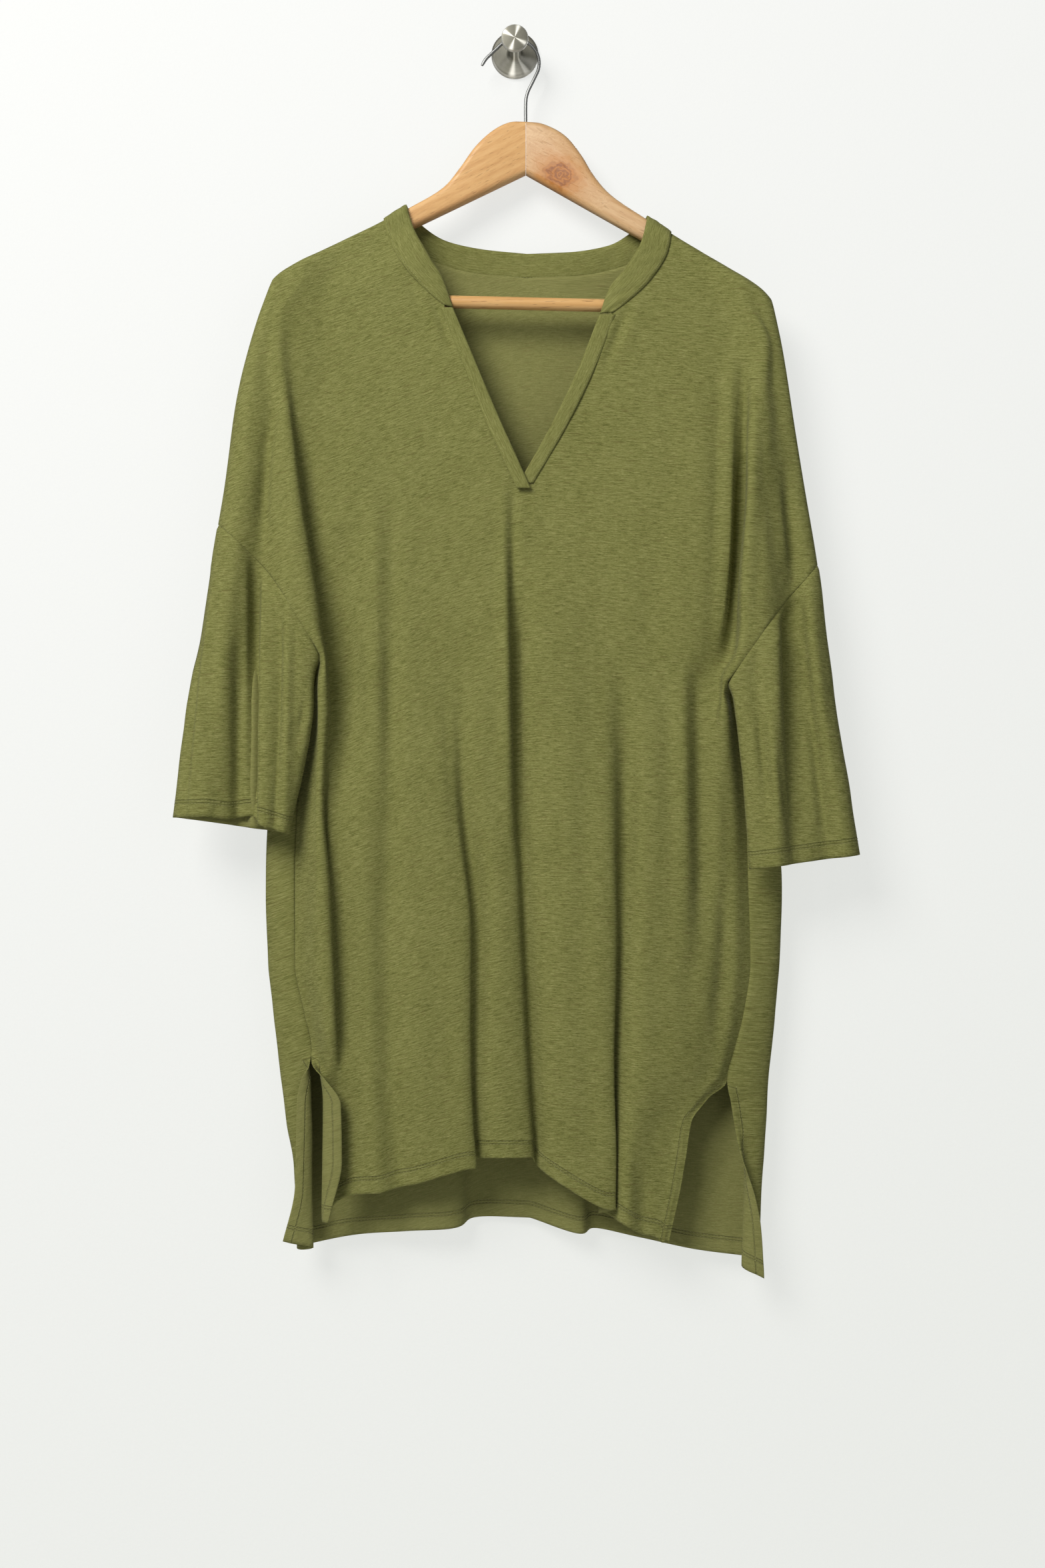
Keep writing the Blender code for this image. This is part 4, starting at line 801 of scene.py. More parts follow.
def inset_outline(points, distance, fixed):
    """The outline moved inward; the fixed points keep their reach."""
    area = sum(a[0] * b[1] - b[0] * a[1] for a, b in zip(points, points[1:] + points[:1]))
    turn = 1.0 if area > 0 else -1.0
    moved = []
    for i, here in enumerate(points):
        before, after = points[i - 1], points[(i + 1) % len(points)]
        nx = nz = 0.0
        for a, b in ((before, here), (here, after)):
            length = math.dist(a, b)
            nx -= (b[1] - a[1]) / length * turn
            nz += (b[0] - a[0]) / length * turn
        scale = distance * 2.0 / max(0.8, nx * nx + nz * nz)
        if i in fixed:
            moved.append((here[0], here[1] + (distance if nz > 0 else -distance)))
        else:
            moved.append((here[0] + nx * scale, here[1] + nz * scale))
    return moved


def circle(count):
    for step in range(count):
        angle = 2 * math.pi * step / count
        yield math.cos(angle), math.sin(angle)


def hook_path():
    """Wire from its open end over the knob and down into the top of the hanger."""
    path = list(HOOK_START)
    for degrees in range(140, -31, -10):
        angle = math.radians(degrees)
        x = HOOK_CENTRE_X + HOOK_RADIUS * math.cos(angle)
        path.append((x, HOOK_CENTRE_Z + HOOK_RADIUS * math.sin(angle)))
    return path + list(HOOK_FOOT) + [(MITRE_X, MITRE_TOP + FIT_GAP)]


# Finer steps for the shown cloth

SHELL_THICKNESS = 0.9
ROW_STEP = 0.0145
SKIRT_STEP = 0.015
HEM_STEP = 0.022
FRONT_FINE = 4
BACK_FINE = 6

# Sewing: lines above the hems and beside the slits, and the beads of thread along them
HEM_HEIGHT = 12.6
CUFF_HEIGHT = 12.0
TWIN_GAP = 2.6
SLIT_STITCH = 8.0
BAND_STITCH = 2.2
STITCH_PITCH = 3.1
STITCH_LENGTH = 2.2
STITCH_RADIUS = 0.24
STITCH_LIFT = 0.45
BEAD_START = 0.15
BEAD_SIDES = 5
BEAD_WIDTHS = (0.55, 1.0, 0.55)
BEAD_RISES = (-0.12, 0.1, -0.12)

# Steps between the knots of a row, from its outer edge to the middle
FRONT_START = [1] * len(ARM_COLUMNS) + [1, 1, 1, 2]
FRONT_COUNTS = {
    -1: FRONT_START + [1, 1, 1, 2, 2, 1, 1, 2, 2, 2],
    1: FRONT_START + [3, 2, 1, 1, 2, 4, 2, 2],
}
BACK_COUNTS = {side: [1] * len(WRAP_COLUMNS) + [2, 2, 1, 2] for side in (-1, 1)}

# Reach of the smoothing along a row, what soft folds and the arm's fold add, and what the hem takes away
SOFT_REACH = 3.4
SOFT_FOLDS = 3.8
SOFT_HEM = 1.3
SOFT_ARM = 2.5
FINISH_REACH = 1.8
FINISH_ARM = 2.0
NORMAL_REACH = 3.0

# The steep fold between the body and the left arm: its place, lean and half width, and its two ends
ARM_FOLD_X = 203.0
ARM_FOLD_Z = -430.0
ARM_FOLD_LEAN = 0.08
ARM_FOLD_WIDTH = 16.0
ARM_FOLD_TOP = -290.0
ARM_FOLD_FOOT = -570.0

# Distance from an edge over which smoothing, swell and creases come in
EDGE_EASE = 14.0

# Uneven swell of the cloth: how far it stands out, how much longer it runs down than across, and its scales
COARSE_SWELL = 0.9
FINE_SWELL = 0.35
SWELL_STRETCH = 1.9
PANEL_SWELL = (46.0, 17.0)
SLEEVE_SWELL = (34.0, 14.0)

# Lengths that one unit of the cloth's pattern and one unit of its edge distances stand for
PATTERN_UNIT = 100.0
EDGE_UNIT = 10.0
FAR_FROM_EDGE = 60.0


def fine_marks():
    """Row marks of the panels, with finer steps between the solid's own rows."""
    marks = []
    for a, b in zip(PANEL_ROWS, PANEL_ROWS[1:]):
        step = ROW_STEP if b <= ROW_ARMPIT else SKIRT_STEP if b <= ROW_SLIT else HEM_STEP
        count = max(1, math.ceil((b - a) / step))
        marks += [a + (b - a) * n / count for n in range(count)]
    return marks + [PANEL_ROWS[-1]]


MARKS = fine_marks()


def first_row(mark):
    return next(i for i, t in enumerate(MARKS) if t >= mark)


def panel_halves(row_function, counts, fine):
    """Both halves of a panel as grids, with their columns from -X to +X."""
    right, left = (
        np.array([curve_through(row_function(side, t), [n * fine for n in counts[side]]) for t in MARKS])
        for side in (-1, 1))
    return right, left[:, ::-1]


def smooth_step(share):
    share = np.clip(share, 0.0, 1.0)
    return share * share * (3.0 - 2.0 * share)


def unit(vectors):
    return vectors / np.maximum(np.linalg.norm(vectors, axis=-1, keepdims=True), 1e-6)


def arm_fold(x, z):
    """How near a point lies to the steep fold between the body and the left arm."""
    away = np.abs(x - ARM_FOLD_X - ARM_FOLD_LEAN * (z - ARM_FOLD_Z))
    begun = smooth_step((ARM_FOLD_TOP - z) / 60.0)
    return smooth_step(1.4 - away / ARM_FOLD_WIDTH) * begun * (1.0 - smooth_step((ARM_FOLD_FOOT - z) / 50.0))


def fold_softness(x, z):
    """Reach of the smoothing, widest at the soft tops of the folds."""
    away = np.abs(x)
    middle = smooth_step((150.0 - away) / 60.0) * (0.45 + 0.55 * smooth_step((away - 12.0) / 25.0))
    start = 600.0 + 170.0 * smooth_step((x - 40.0) / 40.0)
    upper = smooth_step((-z - 330.0) / 80.0) * (1.0 - smooth_step((-z - start) / 300.0))
    low = smooth_step((-z - 900.0) / 150.0)
    return SOFT_REACH + SOFT_FOLDS * middle * upper - SOFT_HEM * low + SOFT_ARM * arm_fold(x, z)


def row_average(row, values, reach):
    """Average of a row's values over a reach along the cloth, and each point's distance along it."""
    steps = np.linalg.norm(np.diff(row, axis=0), axis=1)
    along = np.concatenate([[0.0], np.cumsum(steps)])
    width = np.concatenate([steps, [0.0]]) + np.concatenate([[0.0], steps])
    weight = np.exp(-0.5 * ((along[:, None] - along[None, :]) / reach) ** 2) * width[None, :]
    return weight @ values / weight.sum(axis=1, keepdims=True), along


def softened(row, reach=None):
    """One row of cloth, smoothed along its own length and held at its ends."""
    x, z = row[:, 0], row[:, 2]
    if reach is None:
        reach = fold_softness(x, z)[:, None]
    else:
        reach = reach + FINISH_ARM * arm_fold(x, z)[:, None]
    smooth, along = row_average(row, row, reach)
    hold = smooth_step(np.minimum(along, along[-1] - along) / EDGE_EASE)
    return row + (smooth - row) * hold[:, None]


def soften_halves(halves, join, reach=None):
    """Both halves with softer folds; from the row join down they are smoothed as one piece."""
    right, left = halves[0].copy(), halves[1].copy()
    middle = right.shape[1] - 1
    for r in range(len(right)):
        if r < join:
            right[r], left[r] = softened(right[r], reach), softened(left[r], reach)
            continue
        whole = softened(np.concatenate([right[r], left[r, 1:]]), reach)
        right[r], left[r] = whole[:middle + 1], whole[middle:]
    return right, left


def grid_normals(grid):
    """Normals towards the viewer for a grid of (x, depth, z) points, rows down and columns to +X."""
    space = grid * (1.0, -1.0, 1.0)
    normal = unit(np.cross(np.gradient(space, axis=0), np.gradient(space, axis=1)))
    return normal * (1.0, -1.0, 1.0)


def soft_normals(grid):
    """Normals averaged along each row, so tight folds don't throw them about."""
    rows = zip(grid, grid_normals(grid))
    return unit(np.array([row_average(row, out, NORMAL_REACH)[0] for row, out in rows]))


def smooth_noise(grid, scale, seed):
    down = scale * SWELL_STRETCH
    values = [noise.noise(Vector((x / scale, seed, z / down))) for x, _, z in grid.reshape(-1, 3)]
    return np.array(values).reshape(grid.shape[:2])


def uneven_swell(grid, scales, seeds):
    """Slow uneven swell of the cloth, the same on every run."""
    coarse, fine = (smooth_noise(grid, scale, seed) for scale, seed in zip(scales, seeds))
    return COARSE_SWELL * coarse + FINE_SWELL * fine


# Creases: soft troughs (below zero) and ridges (above zero), from end to end over a middle point
Crease = namedtuple("Crease", "x0 z0 xm zm x1 z1 width depth")
FRONT_CREASES = rows_of(
    Crease,
    (-76, -236, -66, -258, -57, -285, 4.5, -1.9), (-67, -238, -58, -262, -49, -292, 4.0, 0.9),
    (-97, -217, -86, -240, -74, -265, 5.0, -1.5), (-88, -222, -78, -246, -68, -270, 4.5, 0.8),
    (-54, -262, -38, -300, -24, -338, 4.0, -0.8), (102, -248, 92, -270, 79, -300, 5.0, -1.9),
    (112, -236, 106, -262, 97, -292, 5.0, 0.8), (92, -256, 82, -282, 70, -314, 4.0, 0.8),
    (64, -300, 48, -336, 30, -372, 4.5, -0.8), (-8, -409, 10, -412, 26, -408, 3.2, -1.2),
    (-2, -418, 8, -426, 14, -440, 4.5, -1.1), (18, -414, 26, -426, 30, -446, 5.0, -0.7),
    (-4, -458, 33, -462, 70, -461, 1.6, 0.45), (-62, -872, -58, -888, -54, -909, 2.2, -1.3),
    (-56, -868, -53, -886, -49, -908, 2.4, 0.6), (-63, -570, -58, -680, -46, -800, 4.0, -0.9),
    (-57, -580, -52, -690, -40, -800, 4.0, 0.6), (-2, -400, 0, -540, 4, -740, 4.5, -3.6),
    (-10, -400, -9, -540, -5, -740, 5.0, 2.4), (-22, -590, -22, -650, -20, -700, 7.0, -1.4),
    (-112, -420, -110, -580, -108, -800, 8.0, -2.6), (-126, -400, -124, -560, -118, -800, 8.0, 2.4),
    (-155, -440, -153, -560, -147, -700, 18.0, -8.5), (-187, -540, -181, -640, -184, -800, 7.0, -4.5),
    (-170, -540, -167, -640, -162, -780, 6.0, 3.2), (-172, -650, -168, -730, -160, -870, 6.0, 2.2),
    (-217, -330, -222, -400, -227, -470, 5.0, -3.2), (-208, -330, -213, -400, -218, -470, 6.0, 2.4),
    (-200, -250, -206, -320, -212, -380, 9.0, -2.0), (-142, -300, -140, -380, -132, -470, 14.0, 1.2),
    (-128, -700, -124, -830, -118, -960, 10.0, 1.0), (-90, -780, -86, -900, -80, -1000, 9.0, 1.2),
    (-66, -800, -62, -900, -58, -1000, 9.0, -1.2), (50, -560, 48, -640, 47, -760, 12.0, 1.2),
    (63, -640, 62, -760, 62, -880, 8.0, -1.2), (36, -760, 38, -900, 42, -1020, 12.0, 1.4),
    (66, -860, 68, -960, 70, -1040, 9.0, -1.5), (163, -566, 166, -670, 168, -840, 9.0, -6.5),
    (151, -566, 152, -670, 154, -840, 9.0, 3.5), (194, -290, 191, -430, 185, -555, 6.0, 5.5),
    (205, -290, 201, -445, 185, -610, 5.0, -9.0), (213, -300, 209, -430, 203, -530, 5.5, 4.0),
    (241, -405, 247, -455, 254, -500, 5.0, -2.8), (232, -380, 237, -440, 243, -500, 6.0, 2.2),
    (222, -330, 226, -400, 228, -470, 7.0, -1.8), (96, -560, 98, -660, 100, -780, 9.0, -2.4),
    (124, -700, 128, -820, 130, -960, 10.0, -1.4), (172, -760, 172, -820, 166, -900, 8.0, 1.6),
    (186, -760, 187, -830, 180, -905, 6.0, -1.8), (120, -440, 122, -520, 121, -600, 14.0, -1.0),
    (160, -300, 163, -380, 160, -460, 14.0, 1.2), (108, -990, 112, -1030, 116, -1066, 7.0, -1.4),
    (92, -975, 96, -1020, 99, -1060, 6.0, 0.9),
)
BACK_CREASES = rows_of(
    Crease,
    (-120, -300, -112, -420, -108, -560, 16.0, 1.6), (-70, -330, -64, -460, -58, -620, 14.0, -1.4),
    (-20, -420, -16, -560, -12, -760, 15.0, 1.3), (60, -360, 66, -500, 70, -660, 16.0, 1.5),
    (120, -300, 126, -430, 128, -600, 16.0, -1.5), (-150, -700, -148, -820, -146, -980, 12.0, 1.4),
    (150, -720, 152, -850, 156, -1000, 12.0, 1.4), (-84, -820, -80, -930, -78, -1060, 10.0, -1.5),
    (40, -850, 44, -960, 46, -1062, 10.0, -1.4), (100, -840, 104, -950, 106, -1068, 10.0, 1.2),
    (160, -1000, 166, -1030, 170, -1062, 3.2, -1.4), (169, -994, 176, -1026, 182, -1058, 2.8, 1.2),
    (178, -1000, 186, -1034, 190, -1066, 3.0, -1.2), (150, -1010, 153, -1036, 158, -1060, 3.0, 0.9),
    (-20, -1024, -16, -1044, -18, -1062, 4.0, 1.0), (22, -1030, 26, -1046, 24, -1064, 4.0, -1.0),
)
SLEEVE_CREASES = {
    -1: rows_of(
        Crease,
        (-231, -440, -232, -580, -234, -830, 5.0, -6.0), (-221, -440, -221, -580, -222, -830, 7.0, 5.0),
        (-246, -540, -246, -640, -245, -800, 5.0, -1.8), (-257, -540, -257, -640, -256, -800, 6.0, 1.8),
        (-273, -480, -285, -590, -297, -760, 3.4, -3.0), (-211, -520, -210, -610, -215, -760, 4.5, -2.8),
        (-203, -520, -202, -610, -206, -760, 5.0, 2.2), (-183, -585, -181, -605, -186, -628, 3.0, 1.4),
        (-188, -600, -188, -622, -193, -650, 3.0, -1.6), (-190, -611, -194, -630, -197, -645, 4.5, -1.5),
        (-268, -470, -270, -560, -272, -690, 6.0, -1.4),
    ),
    1: rows_of(
        Crease,
        (216, -610, 221, -650, 226, -697, 3.6, -2.0), (223, -604, 229, -655, 233, -706, 3.4, 1.5),
        (209, -622, 213, -660, 218, -710, 3.4, 1.3), (230, -640, 236, -676, 241, -712, 3.4, -1.2),
        (228, -450, 230, -600, 233, -850, 9.0, 5.0), (244, -450, 248, -600, 253, -830, 10.0, -6.5),
        (253, -490, 264, -600, 276, -720, 5.0, -2.4), (262, -500, 272, -600, 284, -720, 6.0, 1.4),
    ),
}

# Rise of the right cuff's front hem over its straight line, where the fold lifts it
CuffRise = namedtuple("CuffRise", "x rise")
CUFF_RISE = rows_of(
    CuffRise,
    (-306, 0.0), (-274, 5.2), (-257, 4.8), (-241, 9.5), (-233, 11.0), (-228, 4.5), (-205, 0.0),
)
CUFF_RISE_HEIGHT = 60.0

# Steps along a crease, how it fades to its ends, and the faint rim along both its sides
CREASE_STEPS = 12
CREASE_FADE = 0.7
RIM_HEIGHT = 0.3
RIM_PLACE = 1.7
RIM_WIDTH = 0.8


def crease_path(crease):
    """Points along a crease, which bends over its middle point."""
    mx = 2 * crease.xm - 0.5 * (crease.x0 + crease.x1)
    mz = 2 * crease.zm - 0.5 * (crease.z0 + crease.z1)
    points = []
    for step in range(CREASE_STEPS + 1):
        v = step / CREASE_STEPS
        p, q, r = (1 - v) ** 2, 2 * v * (1 - v), v * v
        points.append((p * crease.x0 + q * mx + r * crease.x1, p * crease.z0 + q * mz + r * crease.z1))
    return points


def crease_field(grid, creases):
    """How far each point is pushed out by the creases."""
    x, z = grid[..., 0], grid[..., 2]
    total = np.zeros_like(x)
    for crease in creases:
        best = np.full(x.shape, 1e9)
        along = np.zeros_like(x)
        points = crease_path(crease)
        for step, (a, b) in enumerate(zip(points, points[1:])):
            dx, dz = b[0] - a[0], b[1] - a[1]
            v = np.clip(((x - a[0]) * dx + (z - a[1]) * dz) / (dx * dx + dz * dz), 0.0, 1.0)
            away = np.hypot(x - a[0] - v * dx, z - a[1] - v * dz)
            nearer = away < best
            best = np.where(nearer, away, best)
            along = np.where(nearer, (step + v) / CREASE_STEPS, along)
        fade = np.sin(np.pi * np.clip(along, 0.0, 1.0)) ** CREASE_FADE
        near = best / crease.width
        shape = np.exp(-near ** 2) - RIM_HEIGHT * np.exp(-((near - RIM_PLACE) / RIM_WIDTH) ** 2)
        total += crease.depth * shape * fade
    return total


def edge_distance(grid, axis, last=True):
    """Arc length of every point to the grid's last (or first) row or column."""
    steps = np.linalg.norm(np.diff(grid, axis=axis), axis=-1)
    zero = np.zeros_like(np.take(steps, [0], axis=axis))
    if last:
        summed = np.flip(np.cumsum(np.flip(steps, axis), axis=axis), axis)
        return np.concatenate([summed, zero], axis=axis)
    return np.concatenate([zero, np.cumsum(steps, axis=axis)], axis=axis)


# Slope of the courses of the knit, which sag towards the wearer's right
SLOPE_RIGHT = 0.36
SLOPE_LEFT = -0.07
SLOPE_TURN = 26.0

# Share of the distance along the folds, against the plain reach, in the pattern's place
ALONG_SHARE = 0.75


def course_height(u):
    """Height that a course of the knit gains at a distance across from the middle."""
    mean = 0.5 * (SLOPE_RIGHT + SLOPE_LEFT)
    swing = 0.5 * (SLOPE_RIGHT - SLOPE_LEFT)
    return mean * u - swing * SLOPE_TURN * (np.sqrt(1.0 + (u / SLOPE_TURN) ** 2) - 1.0)


def cloth_uv(grid):
    """Place of each point of a panel in the pattern of the knit."""
    across = edge_distance(grid, 1, last=False)
    offset = grid[..., 0] - V_POINT_X
    centre = np.argmin(np.abs(offset), axis=1)
    u = across - across[np.arange(len(grid)), centre][:, None]
    u = ALONG_SHARE * u + (1.0 - ALONG_SHARE) * offset
    return np.stack([u, grid[..., 2] - course_height(offset)], axis=-1) / PATTERN_UNIT


def sewn_dip(away, depth=1.1, width=4.0):
    return -depth * np.clip(1.0 - away / width, 0.0, 1.0) ** 2


def push(grid, amount, normals):
    return grid + normals * amount[..., None]


# Meshes of the shown pieces

def linked(name, data):
    obj = bpy.data.objects.new(name, data)
    bpy.context.scene.collection.objects.link(obj)
    return obj


def numbered(rows, columns):
    """Vertex numbers of a grid, row by row."""
    return np.arange(rows * columns).reshape(rows, columns)


def closed(grid):
    """A grid with its first column once more behind its last."""
    return np.concatenate([grid, grid[:, :1]], axis=1)


def quads(numbers):
    """Faces between the rows and columns of a grid of vertex numbers."""
    corners = (numbers[:-1, :-1], numbers[1:, :-1], numbers[1:, 1:], numbers[:-1, 1:])
    return np.stack(corners, axis=-1).reshape(-1, 4).tolist()


def flipped(faces):
    return [(a, d, c, b) for a, b, c, d in faces]


def mesh_piece(name, vertices, faces, materials, uvs=None, edges=None, corners=None):
    """A smooth mesh; corners number the values of its face corners where these aren't its vertices."""
    mesh = bpy.data.meshes.new(name)
    mesh.from_pydata([(x * MM, -depth * MM, z * MM) for x, depth, z in vertices], [], faces)
    for material in materials:
        mesh.materials.append(material)
    mesh.polygons.foreach_set("use_smooth", [True] * len(mesh.polygons))
    if corners is None:
        corners = faces
    numbers = [n for face in corners for n in face]
    for layer_name, values in (("cloth", uvs), ("edges", edges)):
        if values is not None:
            layer = mesh.uv_layers.new(name=layer_name)
            layer.data.foreach_set("uv", np.asarray(values, np.float32)[numbers].ravel())
    mesh.update()
    return linked(name, mesh)


def faced_out(obj):
    """A closed mesh with all its faces turned outward."""
    work = bmesh.new()
    work.from_mesh(obj.data)
    bmesh.ops.recalc_face_normals(work, faces=work.faces)
    work.to_mesh(obj.data)
    work.free()
    return obj


def shell(obj):
    """Thickness for a sheet, whose second material shows on its other side."""
    solid = obj.modifiers.new("Thickness", "SOLIDIFY")
    solid.thickness = SHELL_THICKNESS * MM
    solid.offset = 0.0
    solid.use_even_offset = False
    solid.material_offset = 1
    solid.material_offset_rim = 0
    return obj


def placed(obj, slot, *nodes):
    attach(obj, "root")
    if nodes:
        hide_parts(*nodes)
    return obj


def panel_piece(name, node, halves, join, uvs, edges, materials):
    """A panel of two halves that share their middle column from the row join down."""
    right = numbered(*halves[0].shape[:2])
    own = np.ones(halves[1].shape[:2], bool)
    own[join:, 0] = False
    left = np.zeros(own.shape, int)
    left[own] = right.size + np.arange(own.sum())
    left[join:, 0] = right[join:, -1]
    points, uv, edge = (
        np.concatenate([values[0].reshape(-1, values[0].shape[-1]), values[1][own]])
        for values in (halves, uvs, edges))
    obj = mesh_piece(name, points, quads(right) + quads(left), materials, uv, edge)
    return placed(shell(obj), "cloth", node)


# Stitches

def bead_faces():
    sides = flipped(quads(closed(numbered(3, BEAD_SIDES))))
    first = tuple(range(BEAD_SIDES))
    return sides + [first[::-1], tuple(2 * BEAD_SIDES + s for s in first)]


BEAD_FACES = bead_faces()


def point_along(line, lengths, at):
    return np.array([np.interp(at, lengths, line[:, k]) for k in range(3)])


def stitch_path(points, normals, pitch, lift):
    """Corners of short thread beads along a path of points, lifted off the cloth along its normals."""
    lengths = np.concatenate([[0.0], np.cumsum(np.linalg.norm(np.diff(points, axis=0), axis=1))])
    beads = []
    for n in range(int(lengths[-1] / pitch)):
        start = (n + BEAD_START) * pitch
        ends = []
        for at in (start, start + 0.5 * STITCH_LENGTH, start + STITCH_LENGTH):
            normal = point_along(normals, lengths, at)
            ends.append((point_along(points, lengths, at), normal / max(1e-6, np.linalg.norm(normal))))
        direction = ends[2][0] - ends[0][0]
        direction = direction / max(1e-6, np.linalg.norm(direction))
        for (place, normal), width, rise in zip(ends, BEAD_WIDTHS, BEAD_RISES):
            side = np.cross(direction, normal)
            thick = STITCH_RADIUS * width
            centre = place + normal * (lift + rise)
            beads += [centre + side * thick * c + normal * thick * s for c, s in circle(BEAD_SIDES)]
    return beads


def stitches(name, paths, pitch=STITCH_PITCH, lift=STITCH_LIFT):
    """One piece of thread for all the stitches along some paths."""
    vertices = []
    for points, normals in paths:
        vertices += stitch_path(points, normals, pitch, lift)
    bases = range(0, len(vertices), 3 * BEAD_SIDES)
    faces = [tuple(base + i for i in face) for base in bases for face in BEAD_FACES]
    return placed(mesh_piece(name, vertices, faces, [thread]), "cloth")


def line_at(grid, normals, away, distance):
    """The line on a grid, and its normals, at one arc distance from its last row."""
    columns = range(grid.shape[1])
    return tuple(np.array([point_along(values[::-1, c], away[::-1, c], distance) for c in columns])
                 for values in (grid, normals))


def twin_lines(grid, normals, away, distance):
    return [line_at(grid, normals, away, distance + gap) for gap in (0.0, TWIN_GAP)]


# Materials

class Graph:
    """Short calls for building a material's nodes; colours are sockets or eight-bit screen values."""

    def __init__(self, name):
        self.material = bpy.data.materials.new(name)
        self.material.use_nodes = True
        self.tree = self.material.node_tree
        self.shader = self.tree.nodes["Principled BSDF"]

    def node(self, kind, **settings):
        made = self.tree.nodes.new(kind)
        for key, value in settings.items():
            setattr(made, key, value)
        return made

    def feed(self, node, index, value):
        if isinstance(value, bpy.types.NodeSocket):
            self.tree.links.new(value, node.inputs[index])
        else:
            node.inputs[index].default_value = value

    def math(self, operation, *values, clamp=False):
        made = self.node("ShaderNodeMath", operation=operation, use_clamp=clamp)
        for i, value in enumerate(values):
            self.feed(made, i, value)
        return made.outputs[0]

    def times(self, a, b):
        return self.math("MULTIPLY", a, b)

    def plus(self, a, b, clamp=False):
        return self.math("ADD", a, b, clamp=clamp)

    def minus(self, a, b):
        return self.math("SUBTRACT", a, b)

    def times_plus(self, a, b, c, clamp=False):
        return self.math("MULTIPLY_ADD", a, b, c, clamp=clamp)

    def weighted(self, start, *parts):
        """The start with each (value, weight) part added."""
        for value, weight in parts:
            start = self.times_plus(value, weight, start)
        return start

    def length(self, a, b):
        return self.math("SQRT", self.plus(self.times(a, a), self.times(b, b)))

    def uv(self, layer):
        return self.node("ShaderNodeUVMap", uv_map=layer).outputs[0]

    def place(self):
        return self.node("ShaderNodeTexCoord").outputs["Object"]

    def parts(self, vector):
        made = self.node("ShaderNodeSeparateXYZ")
        self.feed(made, 0, vector)
        return made.outputs

    def joined(self, x, y, z=0.0):
        made = self.node("ShaderNodeCombineXYZ")
        for i, value in enumerate((x, y, z)):
            self.feed(made, i, value)
        return made.outputs[0]

    def scaled(self, vector, scale, place=(0.0, 0.0, 0.0)):
        made = self.node("ShaderNodeMapping")
        self.feed(made, 0, vector)
        made.inputs["Scale"].default_value = scale
        made.inputs["Location"].default_value = place
        return made.outputs[0]

    def noise(self, vector, scale=1.0, detail=2.0, rough=0.5, distortion=0.0):
        made = self.node("ShaderNodeTexNoise")
        self.feed(made, "Vector", vector)
        self.feed(made, "Scale", scale)
        self.feed(made, "Detail", detail)
        self.feed(made, "Roughness", rough)
        self.feed(made, "Distortion", distortion)
        return made.outputs[0]

    def band(self, value, low, high):
        """A smooth rise from 0 at low to 1 at high."""
        made = self.node("ShaderNodeMapRange", interpolation_type="SMOOTHSTEP")
        for i, part in enumerate((value, low, high)):
            self.feed(made, i, part)
        return made.outputs[0]

    def mix(self, share, a, b):
        made = self.node("ShaderNodeMix", data_type="RGBA")
        for i, value in ((0, share), (6, a), (7, b)):
            self.feed(made, i, linear(value) if isinstance(value, tuple) else value)
        return made.outputs[2]

    def ramp(self, value, *stops):
        made = self.node("ShaderNodeValToRGB")
        self.feed(made, 0, value)
        elements = made.color_ramp.elements
        while len(elements) < len(stops):
            elements.new(0.5)
        for element, (at, colour) in zip(elements, stops):
            element.position = at
            element.color = linear(colour)
        return made.outputs[0]

    def bump(self, height, distance, before=None):
        made = self.node("ShaderNodeBump")
        made.inputs["Distance"].default_value = distance * MM
        self.feed(made, "Height", height)
        if before is not None:
            self.feed(made, "Normal", before)
        return made.outputs[0]

    def set(self, **values):
        for key, value in values.items():
            self.feed(self.shader, key.replace("_", " "), value)
        return self.material


def linear(colour):
    """A colour in linear values from its eight-bit screen values."""
    def channel(v):
        v = v / 255.0
        return v / 12.92 if v <= 0.04045 else ((v + 0.055) / 1.055) ** 2.4
    return (*(channel(v) for v in colour), 1.0)


def tinted(colour, *shares):
    return tuple(c * share for c, share in zip(colour, shares))


# Screen colours of the cloth's right and wrong sides, dark to light, and of its thick yarn
Tones = namedtuple("Tones", "dark middle light yarn")
RIGHT_TONES = Tones((88, 90, 42), (118, 119, 66), (141, 141, 87), (162, 157, 100))
WRONG_TONES = Tones((104, 105, 57), (124, 124, 73), (143, 142, 89), (143, 142, 89))
SLUB_TINT = (1.04, 0.90, 1.0)
# Tint of the painted shade in the grooves of the sewn lines
SEWN_LINE_SHADE_TINT = (0.8, 0.8, 0.8)
THREAD_DARK = (126, 125, 72)
THREAD = (148, 147, 92)

# Distances from hem and slit, in edge units, where the turned-in cloth ends and where it puckers
HEM_TURN = (1.36, 1.20)
SLIT_TURN = (0.92, 0.76)
HEM_PUCKER = (2.2, 1.3)
SLIT_PUCKER = (1.5, 0.8)


def sewn_line(g, distance, at):
    """A thin line at a distance from an edge."""
    away = g.math("ABSOLUTE", g.minus(distance, at / EDGE_UNIT))
    return g.band(away, 0.09, 0.02)


